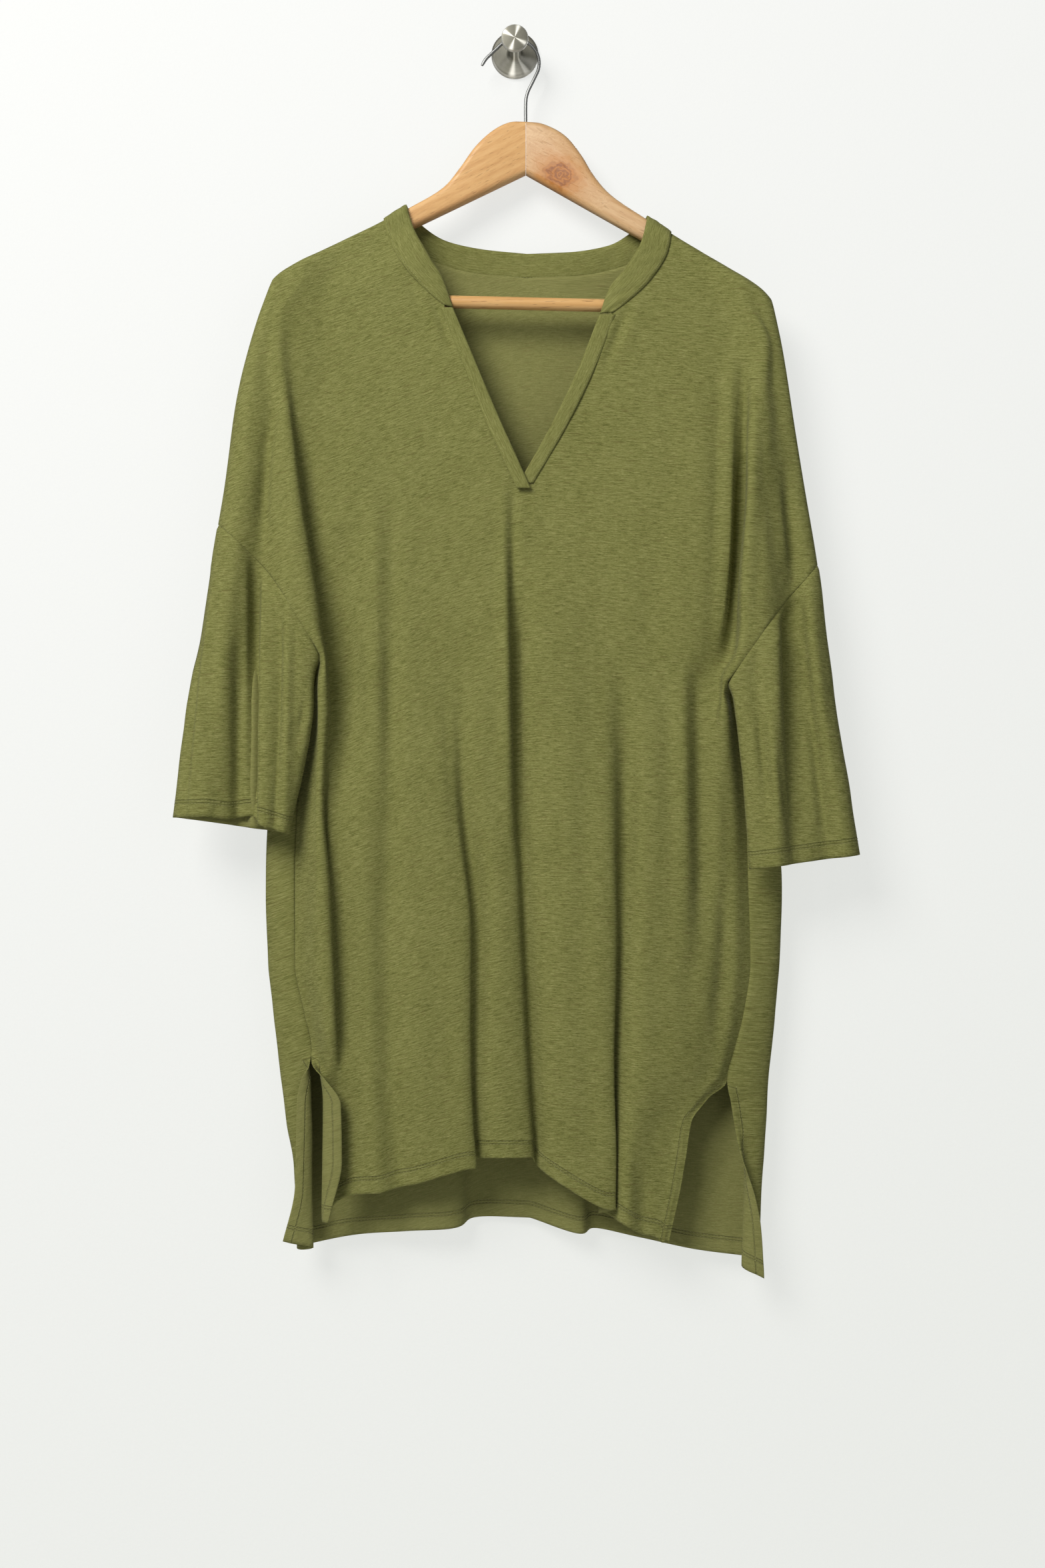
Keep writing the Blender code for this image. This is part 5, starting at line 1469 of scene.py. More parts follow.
def cloth_material(name, tones, streaks, relief):
    """Slubby linen jersey: uneven courses across, fine wales down, soft melange, stitched hems with painted
    shade along their sewn lines.
    """
    g = Graph(name)
    uv = g.uv("cloth")
    course = g.noise(g.scaled(uv, (10.5, 84.0, 1.0)), detail=3.0, rough=0.62, distortion=0.2)
    fine = g.noise(g.scaled(uv, (30.0, 230.0, 1.0), (3.1, 7.7, 0.0)), detail=1.0)
    long = g.noise(g.scaled(uv, (5.6, 76.0, 1.0), (9.4, 2.6, 0.0)), distortion=0.3)
    melange = g.noise(g.scaled(uv, (60.0, 150.0, 1.0), (1.7, 5.2, 0.0)), rough=0.7)
    patch = g.noise(g.scaled(uv, (1.5, 2.4, 1.0), (4.4, 8.1, 0.0)))
    pucker = g.noise(g.scaled(uv, (16.0, 9.0, 1.0), (6.0, 1.0, 0.0)), detail=1.0)
    tone = g.weighted(
        0.5, (g.minus(course, 0.5), 1.15 * streaks), (g.minus(fine, 0.5), 0.65 * streaks),
        (g.minus(melange, 0.5), 0.6 * streaks), (g.minus(patch, 0.5), 0.16))
    colour = g.ramp(tone, (0.2, tones.dark), (0.5, tones.middle), (0.82, tones.light))
    dark_slub = g.band(long, 0.42, 0.30)
    colour = g.mix(g.times(dark_slub, 0.40 * streaks), colour, tinted(tones.dark, *SLUB_TINT))
    light_slub = g.times(g.band(long, 0.60, 0.72), g.band(fine, 0.35, 0.6))
    colour = g.mix(g.times(light_slub, 0.55 * streaks), colour, tones.yarn)
    hem, slit = g.parts(g.uv("edges"))[:2]
    lines = g.plus(sewn_line(g, hem, HEM_HEIGHT), sewn_line(g, hem, HEM_HEIGHT + TWIN_GAP))
    lines = g.plus(lines, sewn_line(g, slit, SLIT_STITCH), clamp=True)
    # Painted shade in the grooves of the sewn lines above the hems and beside the slits
    colour = g.mix(g.times(lines, 0.3), colour, tinted(tones.dark, *SEWN_LINE_SHADE_TINT))
    turned_in = g.math("MAXIMUM", g.band(hem, *HEM_TURN), g.band(slit, *SLIT_TURN))
    near = g.math("MAXIMUM", g.band(hem, *HEM_PUCKER), g.band(slit, *SLIT_PUCKER))
    wales = g.node("ShaderNodeTexWave", wave_type="BANDS", bands_direction="X")
    for key, value in (("Vector", uv), ("Scale", 30.0), ("Distortion", 0.6), ("Detail Scale", 6.0)):
        g.feed(wales, key, value)
    knit = g.bump(g.weighted(course, (fine, 0.45), (light_slub, 0.6), (wales.outputs[1], 0.14)), relief)
    sewing = g.weighted(g.times(turned_in, 0.55), (lines, -0.9), (g.times(near, pucker), 1.1))
    return g.set(Base_Color=colour, Roughness=0.88, Normal=g.bump(sewing, 0.7, before=knit),
                 Sheen_Weight=0.03, Sheen_Roughness=0.5, Specular_IOR_Level=0.15)


def thread_material():
    g = Graph("thread")
    twist = g.noise(g.place(), scale=900.0, detail=1.0)
    colour = g.ramp(twist, (0.3, THREAD_DARK), (0.7, THREAD))
    return g.set(Base_Color=colour, Roughness=0.6, Normal=g.bump(twist, 0.1))


# Screen colours of the hanger's wood
WoodTones = namedtuple("WoodTones", "dark middle light")
RIGHT_ARM_TONES = WoodTones((182, 128, 78), (215, 169, 113), (231, 192, 138))
LEFT_ARM_TONES = WoodTones((172, 126, 82), (200, 163, 118), (216, 185, 142))
BAR_TONES = WoodTones((180, 128, 76), (208, 162, 102), (222, 184, 130))
PORE_TINT = (0.72, 0.72, 0.72)

# Knot in the hanger's left arm, and the colours of its rim, the wood around it and its heart
Knot = namedtuple("Knot", "x z wide tall")
KNOT = Knot(41.0, -119.0, 15.5, 11.5)
KNOT_RIM = (186, 122, 50)
KNOT_AROUND = (184, 130, 74)
HEART_LIGHT = (186, 116, 38)
HEART_DARK = (112, 52, 2)


def wood_material(name, tones, degrees, line_pitch, knot=None, pores=0.35):
    """Varnished wood with fibres along an arm; a knot bends the growth lines round itself."""
    g = Graph(name)
    angle = math.radians(degrees)
    turn = g.node("ShaderNodeVectorRotate", rotation_type="Y_AXIS")
    g.feed(turn, "Vector", g.place())
    g.feed(turn, "Angle", angle)
    grain = turn.outputs[0]
    along, _, across = g.parts(grain)
    slow = g.noise(g.scaled(grain, (9.0, 25.0, 30.0)))
    growth = g.times_plus(slow, 0.010, across)
    if knot is not None:
        cosine, sine = math.cos(angle), math.sin(angle)
        knot_along = knot.x * MM * cosine + knot.z * MM * sine
        knot_across = -knot.x * MM * sine + knot.z * MM * cosine
        da = g.math("DIVIDE", g.minus(along, knot_along), knot.wide * MM)
        dh = g.math("DIVIDE", g.minus(across, knot_across), knot.tall * MM)
        wobble = g.noise(grain, scale=160.0)
        radius = g.times_plus(g.minus(wobble, 0.5), 0.9, g.length(da, dh))
        near = g.band(radius, 3.4, 0.9)
        growth = g.times_plus(g.minus(g.times(radius, knot.tall * MM), growth), near, growth)
    phase = g.times(growth, 2 * math.pi / (line_pitch * MM))
    lines = g.times_plus(g.math("SINE", phase), 0.5, 0.5)
    fibre = g.noise(g.scaled(grain, (26.0, 620.0, 620.0)), detail=3.0, rough=0.6)
    pore = g.band(g.noise(g.scaled(grain, (70.0, 900.0, 900.0), (0.3, 0.1, 0.7)), detail=1.0), 0.64, 0.74)
    tone = g.weighted(g.times(fibre, 0.6), (lines, 0.15), (slow, 0.4))
    colour = g.ramp(tone, (0.1, tones.light), (0.56, tones.middle), (1.0, tones.dark))
    colour = g.mix(g.times(pore, pores), colour, tinted(tones.dark, *PORE_TINT))
    if knot is not None:
        streak = g.noise(g.scaled(grain, (90.0, 90.0, 260.0)), detail=3.0)
        heart = g.times_plus(g.math("SINE", g.times(radius, 21.0)), 0.3, streak)
        colour = g.mix(g.times(g.band(radius, 1.9, 1.0), 0.7), colour, KNOT_RIM)
        colour = g.mix(g.times(near, 0.5), colour, KNOT_AROUND)
        heart_colour = g.mix(heart, HEART_LIGHT, HEART_DARK)
        colour = g.mix(g.times(g.band(radius, 1.15, 0.7), 0.8), colour, heart_colour)
    return g.set(Base_Color=colour, Roughness=g.times_plus(fibre, 0.18, 0.30),
                 Normal=g.bump(g.times_plus(pore, -0.8, fibre), 0.12),
                 Coat_Weight=0.1, Coat_Roughness=0.28, Specular_IOR_Level=0.35)


CHROME = (140, 141, 139)


def chrome_material():
    g = Graph("wire_chrome")
    smear = g.noise(g.place(), scale=55.0, detail=3.0)
    return g.set(Base_Color=linear(CHROME), Metallic=0.85, Roughness=g.times_plus(smear, 0.12, 0.36))


# Knob: angles of the painted highlight cross on its face, and painted highlight streaks by angle, half width
# and strength
HIGHLIGHT_CROSS_ANGLES = (72.0, 150.5)
STEEL_HIGHLIGHT_STREAKS = (
    (-98.0, 14.0, 0.8), (-56.0, 12.0, 0.9), (-28.0, 30.0, 0.45), (-140.0, 30.0, 0.3), (-75.0, 70.0, 0.4),
)
# Tones of the steel, from plain metal up to painted highlight
STEEL_SHEEN_TONES = ((0.1, (112, 110, 98)), (0.3, (136, 134, 121)), (0.9, (248, 246, 236)))
STEEL_SHADE = (72, 71, 62)
STEEL_RIM_HIGHLIGHT = (240, 239, 230)
TURNING_LINES = 2600.0

# Places on the knob in metres: its face and its stem along Y, and the painted highlights on the rims of its
# plate and head
FACE_FROM = (-0.040, -0.0445)
STEM_FROM = (-0.034, -0.030)
PLATE_EDGE = (0.0198, 0.0210)
PLATE_LOW = (0.004, -0.012)
HEAD_EDGE = (0.0110, 0.0119)
HEAD_FROM = (-0.036, -0.038)


def painted_band_at(g, turn, degrees, width):
    """A soft band at an angle round the metal's axis, for painted highlights and painted shade."""
    away = g.math("ABSOLUTE", g.minus(turn, math.radians(degrees)))
    return g.band(away, math.radians(width), 0.0)


def steel_material():
    """Brushed steel with turning rings; a painted highlight cross on the head's face, painted highlight
    streaks along the stem and the plate, painted shade on their left, and painted highlights on the rims.
    """
    g = Graph("knob_steel")
    x, y, z = g.parts(g.place())
    radius = g.length(x, z)
    rings = g.noise(g.joined(g.times(radius, TURNING_LINES), g.times(y, TURNING_LINES)))
    smear = g.noise(g.joined(x, y, z), scale=90.0)
    turn = g.math("ARCTAN2", z, x)
    # Painted highlight: a bright cross on the face, by the angle round the axis
    cross = 0.0
    for degrees in HIGHLIGHT_CROSS_ANGLES:
        side = g.math("ABSOLUTE", g.math("COSINE", g.minus(turn, math.radians(degrees))))
        cross = g.plus(g.math("POWER", side, 50.0), cross)
    face, stem = g.band(y, *FACE_FROM), g.band(y, *STEM_FROM)
    # Painted highlight streaks along the stem and the plate
    streaks = 0.0
    for degrees, width, strength in STEEL_HIGHLIGHT_STREAKS:
        streaks = g.times_plus(painted_band_at(g, turn, degrees, width), strength, streaks)
    shine = g.plus(g.times(cross, face), g.times(streaks, stem))
    sheen = g.weighted(g.times(smear, 0.12), (shine, 0.75), (rings, 0.18))
    # Painted shade on the left of the stem and the plate
    shade = g.times(g.plus(painted_band_at(g, turn, 180.0, 85.0), painted_band_at(g, turn, -180.0, 85.0)), stem)
    colour = g.mix(g.times(shade, 0.8), g.ramp(sheen, *STEEL_SHEEN_TONES), STEEL_SHADE)
    # Painted highlights on the rims: the plate's rim at its low side, and the rim of the head
    plate_rim_highlight = g.times(g.band(radius, *PLATE_EDGE), g.band(z, *PLATE_LOW))
    head_rim_highlight = g.times(g.band(radius, *HEAD_EDGE), g.band(y, *HEAD_FROM))
    rim_highlights = g.times_plus(plate_rim_highlight, 0.55, g.times(head_rim_highlight, 0.6), clamp=True)
    return g.set(Base_Color=g.mix(rim_highlights, colour, STEEL_RIM_HIGHLIGHT), Metallic=0.5, Normal=g.bump(rings, 0.05),
                 Roughness=g.times_plus(rings, 0.15, 0.45))


# Paint of the wall, the glow that stands in for the light of a room on it, painted brighter at the upper
# left than at the lower right, and the floor
WALL = (118, 118, 117)
GLOW_TOP = (221, 222, 220)
GLOW_LOW = (213, 215, 211)
FLOOR_TONES = ((0.3, (222, 222, 218)), (0.7, (230, 230, 226)))


def wall_material():
    """White painted wall that shows from its front only; it glows with painted light, brighter at the upper
    left.
    """
    g = Graph("wall_paint_and_glow")
    where = g.place()
    x, _, z = g.parts(where)
    # Painted light: the wall glows, brighter at the upper left and dimmer towards the lower right
    far = g.band(g.times_plus(x, 0.5, g.times(z, -1.0)), -0.5, 1.7)
    g.set(Base_Color=linear(WALL), Roughness=0.9, Normal=g.bump(g.noise(where, scale=420.0), 0.15),
          Emission_Strength=1.0, Emission_Color=g.mix(far, GLOW_TOP, GLOW_LOW))
    either = g.node("ShaderNodeMixShader")
    g.feed(either, 0, g.node("ShaderNodeNewGeometry").outputs["Backfacing"])
    g.feed(either, 1, g.shader.outputs[0])
    g.feed(either, 2, g.node("ShaderNodeBsdfTransparent").outputs[0])
    g.feed(g.tree.nodes["Material Output"], 0, either.outputs[0])
    return g.material


def floor_material():
    g = Graph("floor_paint")
    return g.set(Base_Color=g.ramp(g.noise(g.place(), scale=90.0, detail=3.0), *FLOOR_TONES), Roughness=0.7)


right_side = cloth_material("linen_right_side", RIGHT_TONES, 1.0, 0.24)
wrong_side = cloth_material("linen_wrong_side", WRONG_TONES, 0.7, 0.2)
band_side = cloth_material("linen_band", RIGHT_TONES, 0.7, 0.14)
thread = thread_material()


# Panels

def panel_layers(join, halves, creases, outward, seed):
    """Displaced halves of a panel and their normals; outward is 1 where the right side faces the viewer."""
    right, left = halves
    middle = right.shape[1] - 1
    full = np.concatenate([right, left[:, 1:]], axis=1)
    joined_normals = soft_normals(full)
    swell = uneven_swell(full, PANEL_SWELL, (seed, seed + 5.0)) + crease_field(full, creases)
    above_slit = np.array([1.0 if t <= ROW_SLIT else 1.0 - ease((t - ROW_SLIT) / 0.03) for t in MARKS])
    result = []
    for h, (half, columns) in enumerate(((right, slice(0, middle + 1)), (left, slice(middle, None)))):
        normals = soft_normals(half)
        normals[join:] = joined_normals[join:, columns]
        seam = edge_distance(half, 1, last=(h == 1))
        shoulder = edge_distance(half, 0, last=False)
        amount = swell[:, columns] * np.clip(np.minimum(seam, shoulder) / EDGE_EASE, 0.0, 1.0)
        amount += outward * sewn_dip(seam) * above_slit[:, None]
        amount += outward * sewn_dip(shoulder, 0.8, 3.5)
        result.append(push(half, amount, normals))
    return [(surface, soft_normals(surface)) for surface in soften_halves(result, join, FINISH_REACH)]


def slit_lift():
    """Takes the rows above the slit far from its edge."""
    return np.array([FAR_FROM_EDGE * ease((ROW_SLIT + 0.05 - t) / 0.06) for t in MARKS])[:, None]


def panel_stitches(layers):
    """Twin lines above the hem and one line beside each slit."""
    start = first_row(ROW_SLIT + 0.03)
    paths = []
    for h, (surface, normals) in enumerate(layers):
        paths += twin_lines(surface, normals, edge_distance(surface, 0), HEM_HEIGHT)
        slit = edge_distance(surface, 1, last=(h == 1))
        order = slice(None) if h == 1 else slice(None, None, -1)
        turned = [values[start:, order].swapaxes(0, 1) for values in (surface, normals, slit)]
        paths.append(line_at(*turned, SLIT_STITCH))
    return paths


def build_panel(name, node, row_function, counts, fine, creases, outward, seed, join_from):
    join = first_row(join_from)
    halves = soften_halves(panel_halves(row_function, counts, fine), join)
    layers = panel_layers(join, halves, creases, outward, seed)
    edges = []
    for h, half in enumerate(halves):
        slit = edge_distance(half, 1, last=(h == 1)) + slit_lift()
        edges.append(np.stack([edge_distance(half, 0), slit], axis=-1) / EDGE_UNIT)
    surfaces = [surface for surface, _ in layers]
    uvs = [cloth_uv(half) for half in halves]
    materials = (right_side, wrong_side) if outward > 0 else (wrong_side, right_side)
    piece = panel_piece(name, node, surfaces, join, uvs, edges, materials)
    paths = panel_stitches(layers)
    stitches(name + "_stitches", paths)
    stitches(name + "_stitches_inside", [(points, -out) for points, out in paths])
    return piece


front_cloth = build_panel(
    "front_cloth", "front", front_row, FRONT_COUNTS, FRONT_FINE, FRONT_CREASES, 1.0, 2.3, ROW_BUST)
back_cloth = build_panel(
    "back_cloth", "back", back_row, BACK_COUNTS, BACK_FINE, BACK_CREASES, -1.0, 9.1, ROW_BACK_NECK)


# Sleeves

SLEEVE_STEPS = 64
SLEEVE_ACROSS = 72
SEAM_ALLOWANCE = 5.5
ALLOWANCE_DIP = 1.7
SLEEVE_SLOPE = 0.03


def sleeve_grid(side):
    """Rings from the armhole to the cuff; columns go to +X over the front, then back behind."""
    rising = [n / SLEEVE_ACROSS for n in range(SLEEVE_ACROSS)]
    falling = [1.0 - u for u in rising]
    first, second = (rising, falling) if side < 0 else (falling, rising)
    around = [(u, False) for u in first] + [(u, True) for u in second]
    marks = [r / SLEEVE_STEPS for r in range(SLEEVE_STEPS + 1)]
    return np.array([[sleeve_point(side, u, v, back) for u, back in around] for v in marks])


def ring_normals(grid):
    return grid_normals(np.concatenate([grid[:, -1:], closed(grid)], axis=1))[:, 1:-1]


def with_allowance(surface):
    """A sleeve with its seam allowance, a narrow ring tucked under the body's edge."""
    back = unit(surface[0] - surface[2])
    ring = surface[0] + back * SEAM_ALLOWANCE - ring_normals(surface)[0] * ALLOWANCE_DIP
    return np.concatenate([ring[None], surface])


def build_sleeve(name, node, side, seed):
    grid = sleeve_grid(side)
    from_seam = edge_distance(grid, 0, last=False)
    swell = uneven_swell(grid, SLEEVE_SWELL, (seed, seed + 3.0)) + crease_field(grid, SLEEVE_CREASES[side])
    amount = swell * np.clip(from_seam / EDGE_EASE, 0.0, 1.0) + sewn_dip(from_seam)
    surface = push(grid, amount, ring_normals(grid))
    if side < 0:
        rise = np.interp(surface[..., 0], [c.x for c in CUFF_RISE], [c.rise for c in CUFF_RISE])
        rise[:, SLEEVE_ACROSS:] = 0.0
        surface[..., 2] += rise * smooth_step(1.0 - edge_distance(surface, 0) / CUFF_RISE_HEIGHT)
    surface = with_allowance(surface)
    whole = closed(surface)
    hem = closed(edge_distance(surface, 0))
    around = edge_distance(whole, 1, last=False)
    u = around - around[:, SLEEVE_ACROSS // 2][:, None]
    v = whole[..., 2] + side * SLEEVE_SLOPE * whole[..., 0]
    uv = np.stack([u, v], axis=-1) / PATTERN_UNIT + np.array([7.0 * side, 3.0])
    edge = np.stack([hem, np.full_like(hem, FAR_FROM_EDGE)], axis=-1) / EDGE_UNIT
    faces = quads(closed(numbered(*surface.shape[:2])))
    corners = quads(numbered(*whole.shape[:2]))
    obj = mesh_piece(name, surface.reshape(-1, 3), faces, (right_side, wrong_side),
                     uv.reshape(-1, 2), edge.reshape(-1, 2), corners)
    placed(shell(obj), "cloth", node)
    stitches(name + "_stitches", twin_lines(whole, closed(ring_normals(surface)), hem, CUFF_HEIGHT))
    return obj


sleeve_right_cloth = build_sleeve("sleeve_right_cloth", "sleeve_right", -1, 4.7)
sleeve_left_cloth = build_sleeve("sleeve_left_cloth", "sleeve_left", 1, 6.2)


# Bands of the neck: two layers of cloth, folded at the free edge

SHOWN_LIFT = 1.45
BAND_HALF = 0.85
BAND_ACROSS = 12
COLLAR_STEPS = 46
COLLAR_SINK = 3.0
PLACKET_STEPS = 96
INSIDE_SHIFT = 60.0
BAND_SQUARE = 7
BAND_SEWN_AT = 0.1
BAND_SEWN_DIP = 0.35
BAND_STITCH_PITCH = 2.9
BAND_STITCH_LIFT = 0.62


def strip_piece(name, node, grid, wrinkle):
    """A doubled band round a mid surface of rows (along) and columns (seam edge to free edge)."""
    normals = grid_normals(grid)
    share = np.linspace(0.0, 1.0, grid.shape[1])
    half = BAND_HALF * (1.0 - np.abs(2 * share - 1.0) ** BAND_SQUARE) ** 0.5
    half = np.maximum(half - BAND_SEWN_DIP * np.exp(-((share - BAND_SEWN_AT) / 0.05) ** 2), 0.05)
    middle = push(grid, wrinkle, normals)
    lift = normals * half[None, :, None]
    ring = np.concatenate([middle + lift, (middle - lift)[:, ::-1]], axis=1)
    along = edge_distance(grid, 0, last=False)
    across = edge_distance(grid, 1, last=False)
    u = np.concatenate([along, along[:, ::-1]], axis=1)
    v = np.concatenate([across, across[:, ::-1] + INSIDE_SHIFT], axis=1)
    uv = np.stack([u, v], axis=-1).reshape(-1, 2) / PATTERN_UNIT
    edge = np.full_like(uv, FAR_FROM_EDGE / EDGE_UNIT)
    numbers = numbered(*ring.shape[:2])
    faces = flipped(quads(closed(numbers)))
    for row, order in ((numbers[0].tolist(), 1), (numbers[-1].tolist(), -1)):
        back = row[::-1]
        for c in range(grid.shape[1] - 1):
            faces.append((row[c], row[c + 1], back[c + 1], back[c])[::order])
    obj = faced_out(mesh_piece(name, ring.reshape(-1, 3), faces, (band_side,), uv, edge))
    placed(obj, "cloth", node)
    spots = np.minimum(BAND_STITCH, 0.4 * across[:, -1])
    points, out = (np.array([point_along(*row) for row in zip(values, across, spots)])
                   for values in (middle, normals))
    stitches(name + "_stitches", [(points, out), (points, -out)], BAND_STITCH_PITCH, BAND_STITCH_LIFT)
    return obj


def collar_line(side, along, back):
    """Points of the neck band across its width, lifted off the panels."""
    rows = BACK_NECK[side] if back else FRONT_NECK[side]
    points = []
    for n in range(BAND_ACROSS + 1):
        share = n / BAND_ACROSS
        x = lerp(neck_at(rows, along, "reach"), neck_at(rows, along, "free_reach"), share)
        z = lerp(neck_at(rows, along, "height"), neck_at(rows, along, "free_height"), share)
        if along == 0.0:
            points.append((x, arm_depth(x), z + SHOWN_LIFT))
            continue
        if back:
            depth = back_arm_depth(side, x, z)
        else:
            depth = chest_depth(side, x, z) - COLLAR_SINK * share * share * along
        points.append(lifted(side, x, depth, z, SHOWN_LIFT, back))
    return points


def collar_grid():
    """Rows from the right front end of the neck band round the back to its left front end."""
    marks = [(n / COLLAR_STEPS) ** 1.35 for n in range(COLLAR_STEPS + 1)]
    rows = [collar_line(-1, along, False) for along in marks[::-1]]
    rows += [collar_line(-1, along, True) for along in marks[1:]]
    rows += [collar_line(1, along, True) for along in marks[-2::-1]]
    return np.array(rows + [collar_line(1, along, False) for along in marks[1:]])


def collar_wrinkles(grid):
    """Oblique tension creases along the band, strongest at its front ends."""
    along = edge_distance(grid, 0, last=False)
    across = edge_distance(grid, 1, last=False)
    wave = np.sin(2 * np.pi * (along + 0.9 * across) / 15.0 + 1.5 * np.sin(along / 31.0))
    second = np.sin(2 * np.pi * (along - 0.5 * across) / 26.0 + 2.0)
    ends = np.exp(-np.minimum(along, along[-1:] - along) / 70.0)
    share = across / np.maximum(across[:, -1:], 1.0)
    window = np.sin(np.pi * np.clip(share, 0.0, 1.0)) ** 0.6
    return (0.42 * wave + 0.4 * second) * (0.35 + 0.8 * ends) * window


def placket_grid(side):
    """Rows down one band of the V; the right one laps over the left one at the point."""
    table = PLACKET[side]
    rows = []
    for step in range(PLACKET_STEPS + 1):
        z = lerp(table[0].height, table[-1].height, step / PLACKET_STEPS)
        lift = SHOWN_LIFT + (PLACKET_LAP * ease((-340.0 - z) / 30.0) if side < 0 else 0.0)
        seam, free = at_height(table, z, "seam"), at_height(table, z, "free")
        reaches = [lerp(seam, free, n / BAND_ACROSS) for n in range(BAND_ACROSS + 1)]
        rows.append([(x, chest_depth(side, x, z) + lift, z) for x in reaches])
    return np.array(rows)


def placket_wrinkles(grid):
    along = edge_distance(grid, 0, last=False)
    return 0.16 * np.sin(along / 5.2) + 0.3 * np.sin(along / 23.0 + 1.0)


collar = collar_grid()
collar_cloth = strip_piece("collar_band_cloth", "collar_band", collar, collar_wrinkles(collar))
for side, node in ((-1, "placket_right"), (1, "placket_left")):
    grid = placket_grid(side)
    strip_piece(node + "_cloth", node, grid, placket_wrinkles(grid))


# Hanger, with finer sections than its solids

ARM_FINE = 5
WIRE_FINE = 4
BAR_SIDES = 48
WIRE_SIDES = 20
KNOB_SIDES = 96

# Sections of an arm by their angle round its edge, and of the bar by place and by what its end rounds off
ARM_SECTIONS = (90, 72, 54, 36, 18, 0, -0.01, -18, -36, -54, -72, -90)
BAR_SECTIONS = ((0.0, 0.9), (0.0016, 0.3), (0.006, 0.0), (0.994, 0.0), (0.9984, 0.3), (1.0, 0.9))
WIRE_END = (0.72, 0.95)

# Turns, in degrees, from which an edge is crisp
WOOD_CRISP = 34.0
WIRE_CRISP = 50.0
STEEL_CRISP = 40.0


def flat_capped(name, rings, material, angle=WOOD_CRISP):
    """A closed solid through rings, with crisp edges only where it turns sharply."""
    numbers = numbered(len(rings), len(rings[0]))
    faces = [numbers[0].tolist()] + quads(closed(numbers)) + [numbers[-1, ::-1].tolist()]
    obj = faced_out(mesh_piece(name, [point for ring in rings for point in ring], faces, (material,)))
    obj.data.set_sharp_from_angle(angle=math.radians(angle))
    return obj


def hanger_outline(side):
    """Smooth outline of an arm from the top of its mitre round the tip to the mitre's foot."""
    mitre = MITRE_X + side * FIT_GAP / 2
    knots = [(mitre, MITRE_TOP)] + [(p.reach, p.height) for p in HANGER_ARM[side]] + [(mitre, MITRE_FOOT)]
    return curve_through(knots, [ARM_FINE] * (len(knots) - 1))


def arm_piece(name, node, side, material, slot):
    outline = hanger_outline(side)
    ends = (0, len(outline) - 1)
    rings = []
    for degrees in ARM_SECTIONS:
        turn = math.radians(abs(degrees))
        across = ARM_THICKNESS / 2 - ARM_ROUNDING * (1.0 - math.sin(turn))
        ring = inset_outline(outline, ARM_ROUNDING * (1.0 - math.cos(turn)), fixed=ends)
        rings.append([(x, arm_depth(x) + math.copysign(across, degrees), z) for x, z in ring])
    return placed(flat_capped(name, rings, material), slot, node)


def bar_piece(name, node, material):
    rings = []
    for share, shrink in BAR_SECTIONS:
        reach = lerp(BAR_ENDS[0].reach, BAR_ENDS[1].reach, share)
        height = lerp(BAR_ENDS[0].height, BAR_ENDS[1].height, share)
        radius = BAR_RADIUS - shrink
        rings.append([(reach, BAR_DEPTH + radius * c, height + radius * s) for c, s in circle(BAR_SIDES)])
    return placed(flat_capped(name, rings, material), "wood_left", node)


# Woods with the slope of their fibres in degrees and the pitch of their growth lines
wood_right = wood_material("wood_right_arm", RIGHT_ARM_TONES, 29.0, 7.5)
wood_left = wood_material("wood_left_arm", LEFT_ARM_TONES, -30.0, 6.0, knot=KNOT)
wood_bar = wood_material("wood_bar", BAR_TONES, 1.3, 9.0, pores=0.7)
arm_piece("hanger_arm_right_wood", "hanger_arm_right", -1, wood_right, "wood_right")
arm_piece("hanger_arm_left_wood", "hanger_arm_left", 1, wood_left, "wood_left")
bar_piece("hanger_bar_wood", "hanger_bar", wood_bar)


# Wire hook and wall knob

def wire_piece(name, node, material):
    hook = hook_path()
    path = curve_through(hook, [WIRE_FINE] * (len(hook) - 1))
    radii = [WIRE_RADIUS * share for share in WIRE_END] + [WIRE_RADIUS] * (len(path) - len(WIRE_END))
    rings = []
    for i, ((x, z), radius) in enumerate(zip(path, radii)):
        before, after = path[max(0, i - 1)], path[min(len(path) - 1, i + 1)]
        length = math.dist(before, after)
        tx, tz = (after[0] - before[0]) / length, (after[1] - before[1]) / length
        rings.append([(x - tz * radius * c, HOOK_DEPTH + radius * s, z + tx * radius * c)
                      for c, s in circle(WIRE_SIDES)])
    return placed(flat_capped(name, rings, material, WIRE_CRISP), "wire", node)


def knob_piece(name, node, material):
    rings = []
    for ring in KNOB:
        rings.append([(ring.radius * c, ring.depth, ring.radius * s) for c, s in circle(KNOB_SIDES)])
    return placed(flat_capped(name, rings, material, STEEL_CRISP), "steel", node)


wire_piece("hanger_hook_wire", "hanger_hook", chrome_material())
knob_piece("wall_knob_steel", "wall_knob", steel_material())


# The shape of a cut of the cloth, in metres: the widest and longest of each piece, and its flat area; the
# script lists no cuts with it

Cut = namedtuple("Cut", "piece width length area held")


# Stage: wall, floor, light and camera, in metres

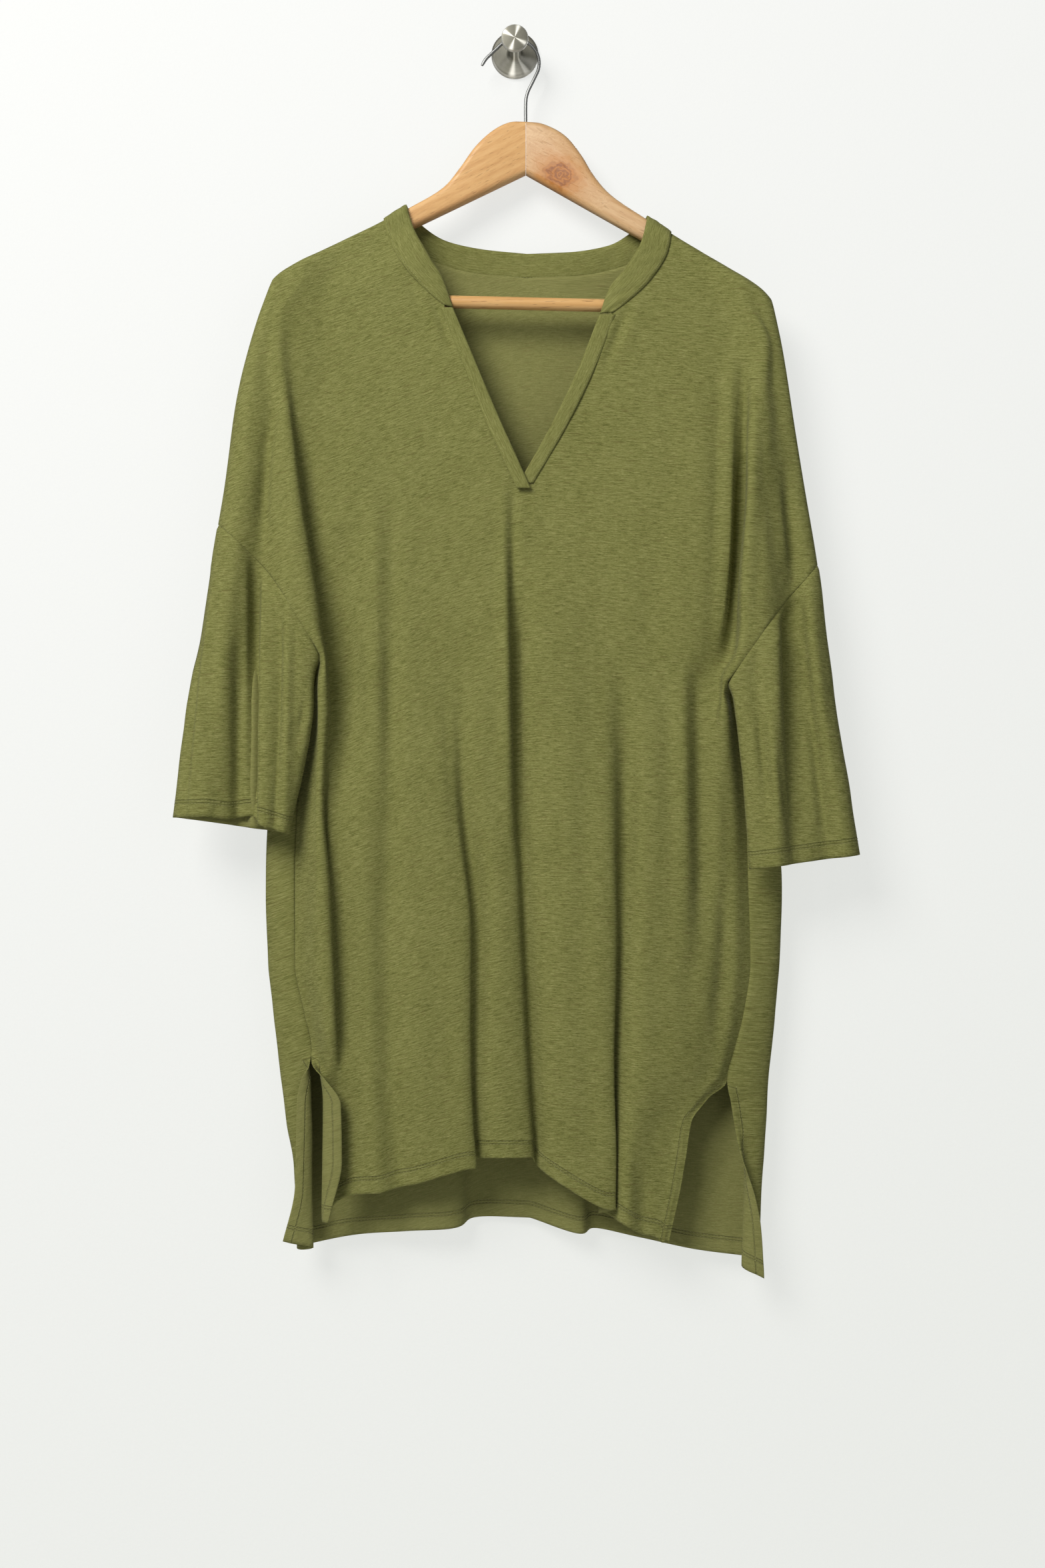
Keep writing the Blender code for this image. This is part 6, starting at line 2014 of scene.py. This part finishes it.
STAGE_SIDE = 4.0
WALL_Y = 0.0006
WALL_TOP = 2.5
FLOOR_Z = -1.75
CAMERA_PLACE = (0.007, -1.80, -0.674)
CAMERA_LENS = 44.65
CAMERA_SENSOR = 36.0
WORLD_COLOUR = (0.96, 0.98, 1.0, 1.0)
WORLD_STRENGTH = 0.17
Lamp = namedtuple("Lamp", "name place target size power colour")
LAMPS = (
    Lamp("key", (-1.32, -2.15, 1.12), (0.0, 0.0, -0.5), 1.6, 94.0, (1.0, 0.985, 0.96)),
    Lamp("fill", (1.8, -2.6, -0.2), (0.0, 0.0, -0.6), 1.8, 6.0, (0.97, 0.985, 1.0)),
    Lamp("behind", (1.2, 2.6, 0.6), (0.0, 0.0, -0.5), 2.0, 36.0, (1.0, 1.0, 1.0)),
)


def flat_sheet(name, corners, material):
    mesh = bpy.data.meshes.new(name)
    mesh.from_pydata(corners, [], [(0, 1, 2, 3)])
    mesh.materials.append(material)
    mesh.update()
    obj = linked(name, mesh)
    return obj


def add_lamp(lamp):
    data = bpy.data.lights.new(lamp.name, "AREA")
    data.shape = "DISK"
    data.size = lamp.size
    data.energy = lamp.power
    data.color = lamp.colour
    obj = linked(lamp.name, data)
    obj.location = lamp.place
    obj.rotation_euler = (Vector(lamp.target) - Vector(lamp.place)).to_track_quat("-Z", "Y").to_euler()


wall_corners = [(x, WALL_Y, z) for x, z in (
    (-STAGE_SIDE, FLOOR_Z), (STAGE_SIDE, FLOOR_Z), (STAGE_SIDE, WALL_TOP), (-STAGE_SIDE, WALL_TOP))]
floor_corners = [(STAGE_SIDE * x, STAGE_SIDE * y, FLOOR_Z) for x, y in ((-1, -1), (1, -1), (1, 1), (-1, 1))]
wall = flat_sheet("wall", wall_corners, wall_material())
wall.visible_diffuse = False
wall.visible_glossy = False
wall.visible_shadow = False
flat_sheet("floor", floor_corners, floor_material())
for lamp in LAMPS:
    add_lamp(lamp)

world = bpy.data.worlds.new("room")
world.use_nodes = True
world.node_tree.nodes["Background"].inputs["Color"].default_value = WORLD_COLOUR
world.node_tree.nodes["Background"].inputs["Strength"].default_value = WORLD_STRENGTH
bpy.context.scene.world = world
bpy.context.scene.view_settings.view_transform = "Standard"
bpy.context.scene.view_settings.look = "None"

camera_data = bpy.data.cameras.new("camera")
camera_data.lens = CAMERA_LENS
camera_data.sensor_fit = "VERTICAL"
camera_data.sensor_height = CAMERA_SENSOR
camera_data.dof.use_dof = False
camera = linked("camera", camera_data)
camera.location = CAMERA_PLACE
camera.rotation_euler = (math.radians(90.0), 0.0, 0.0)
bpy.context.scene.camera = camera
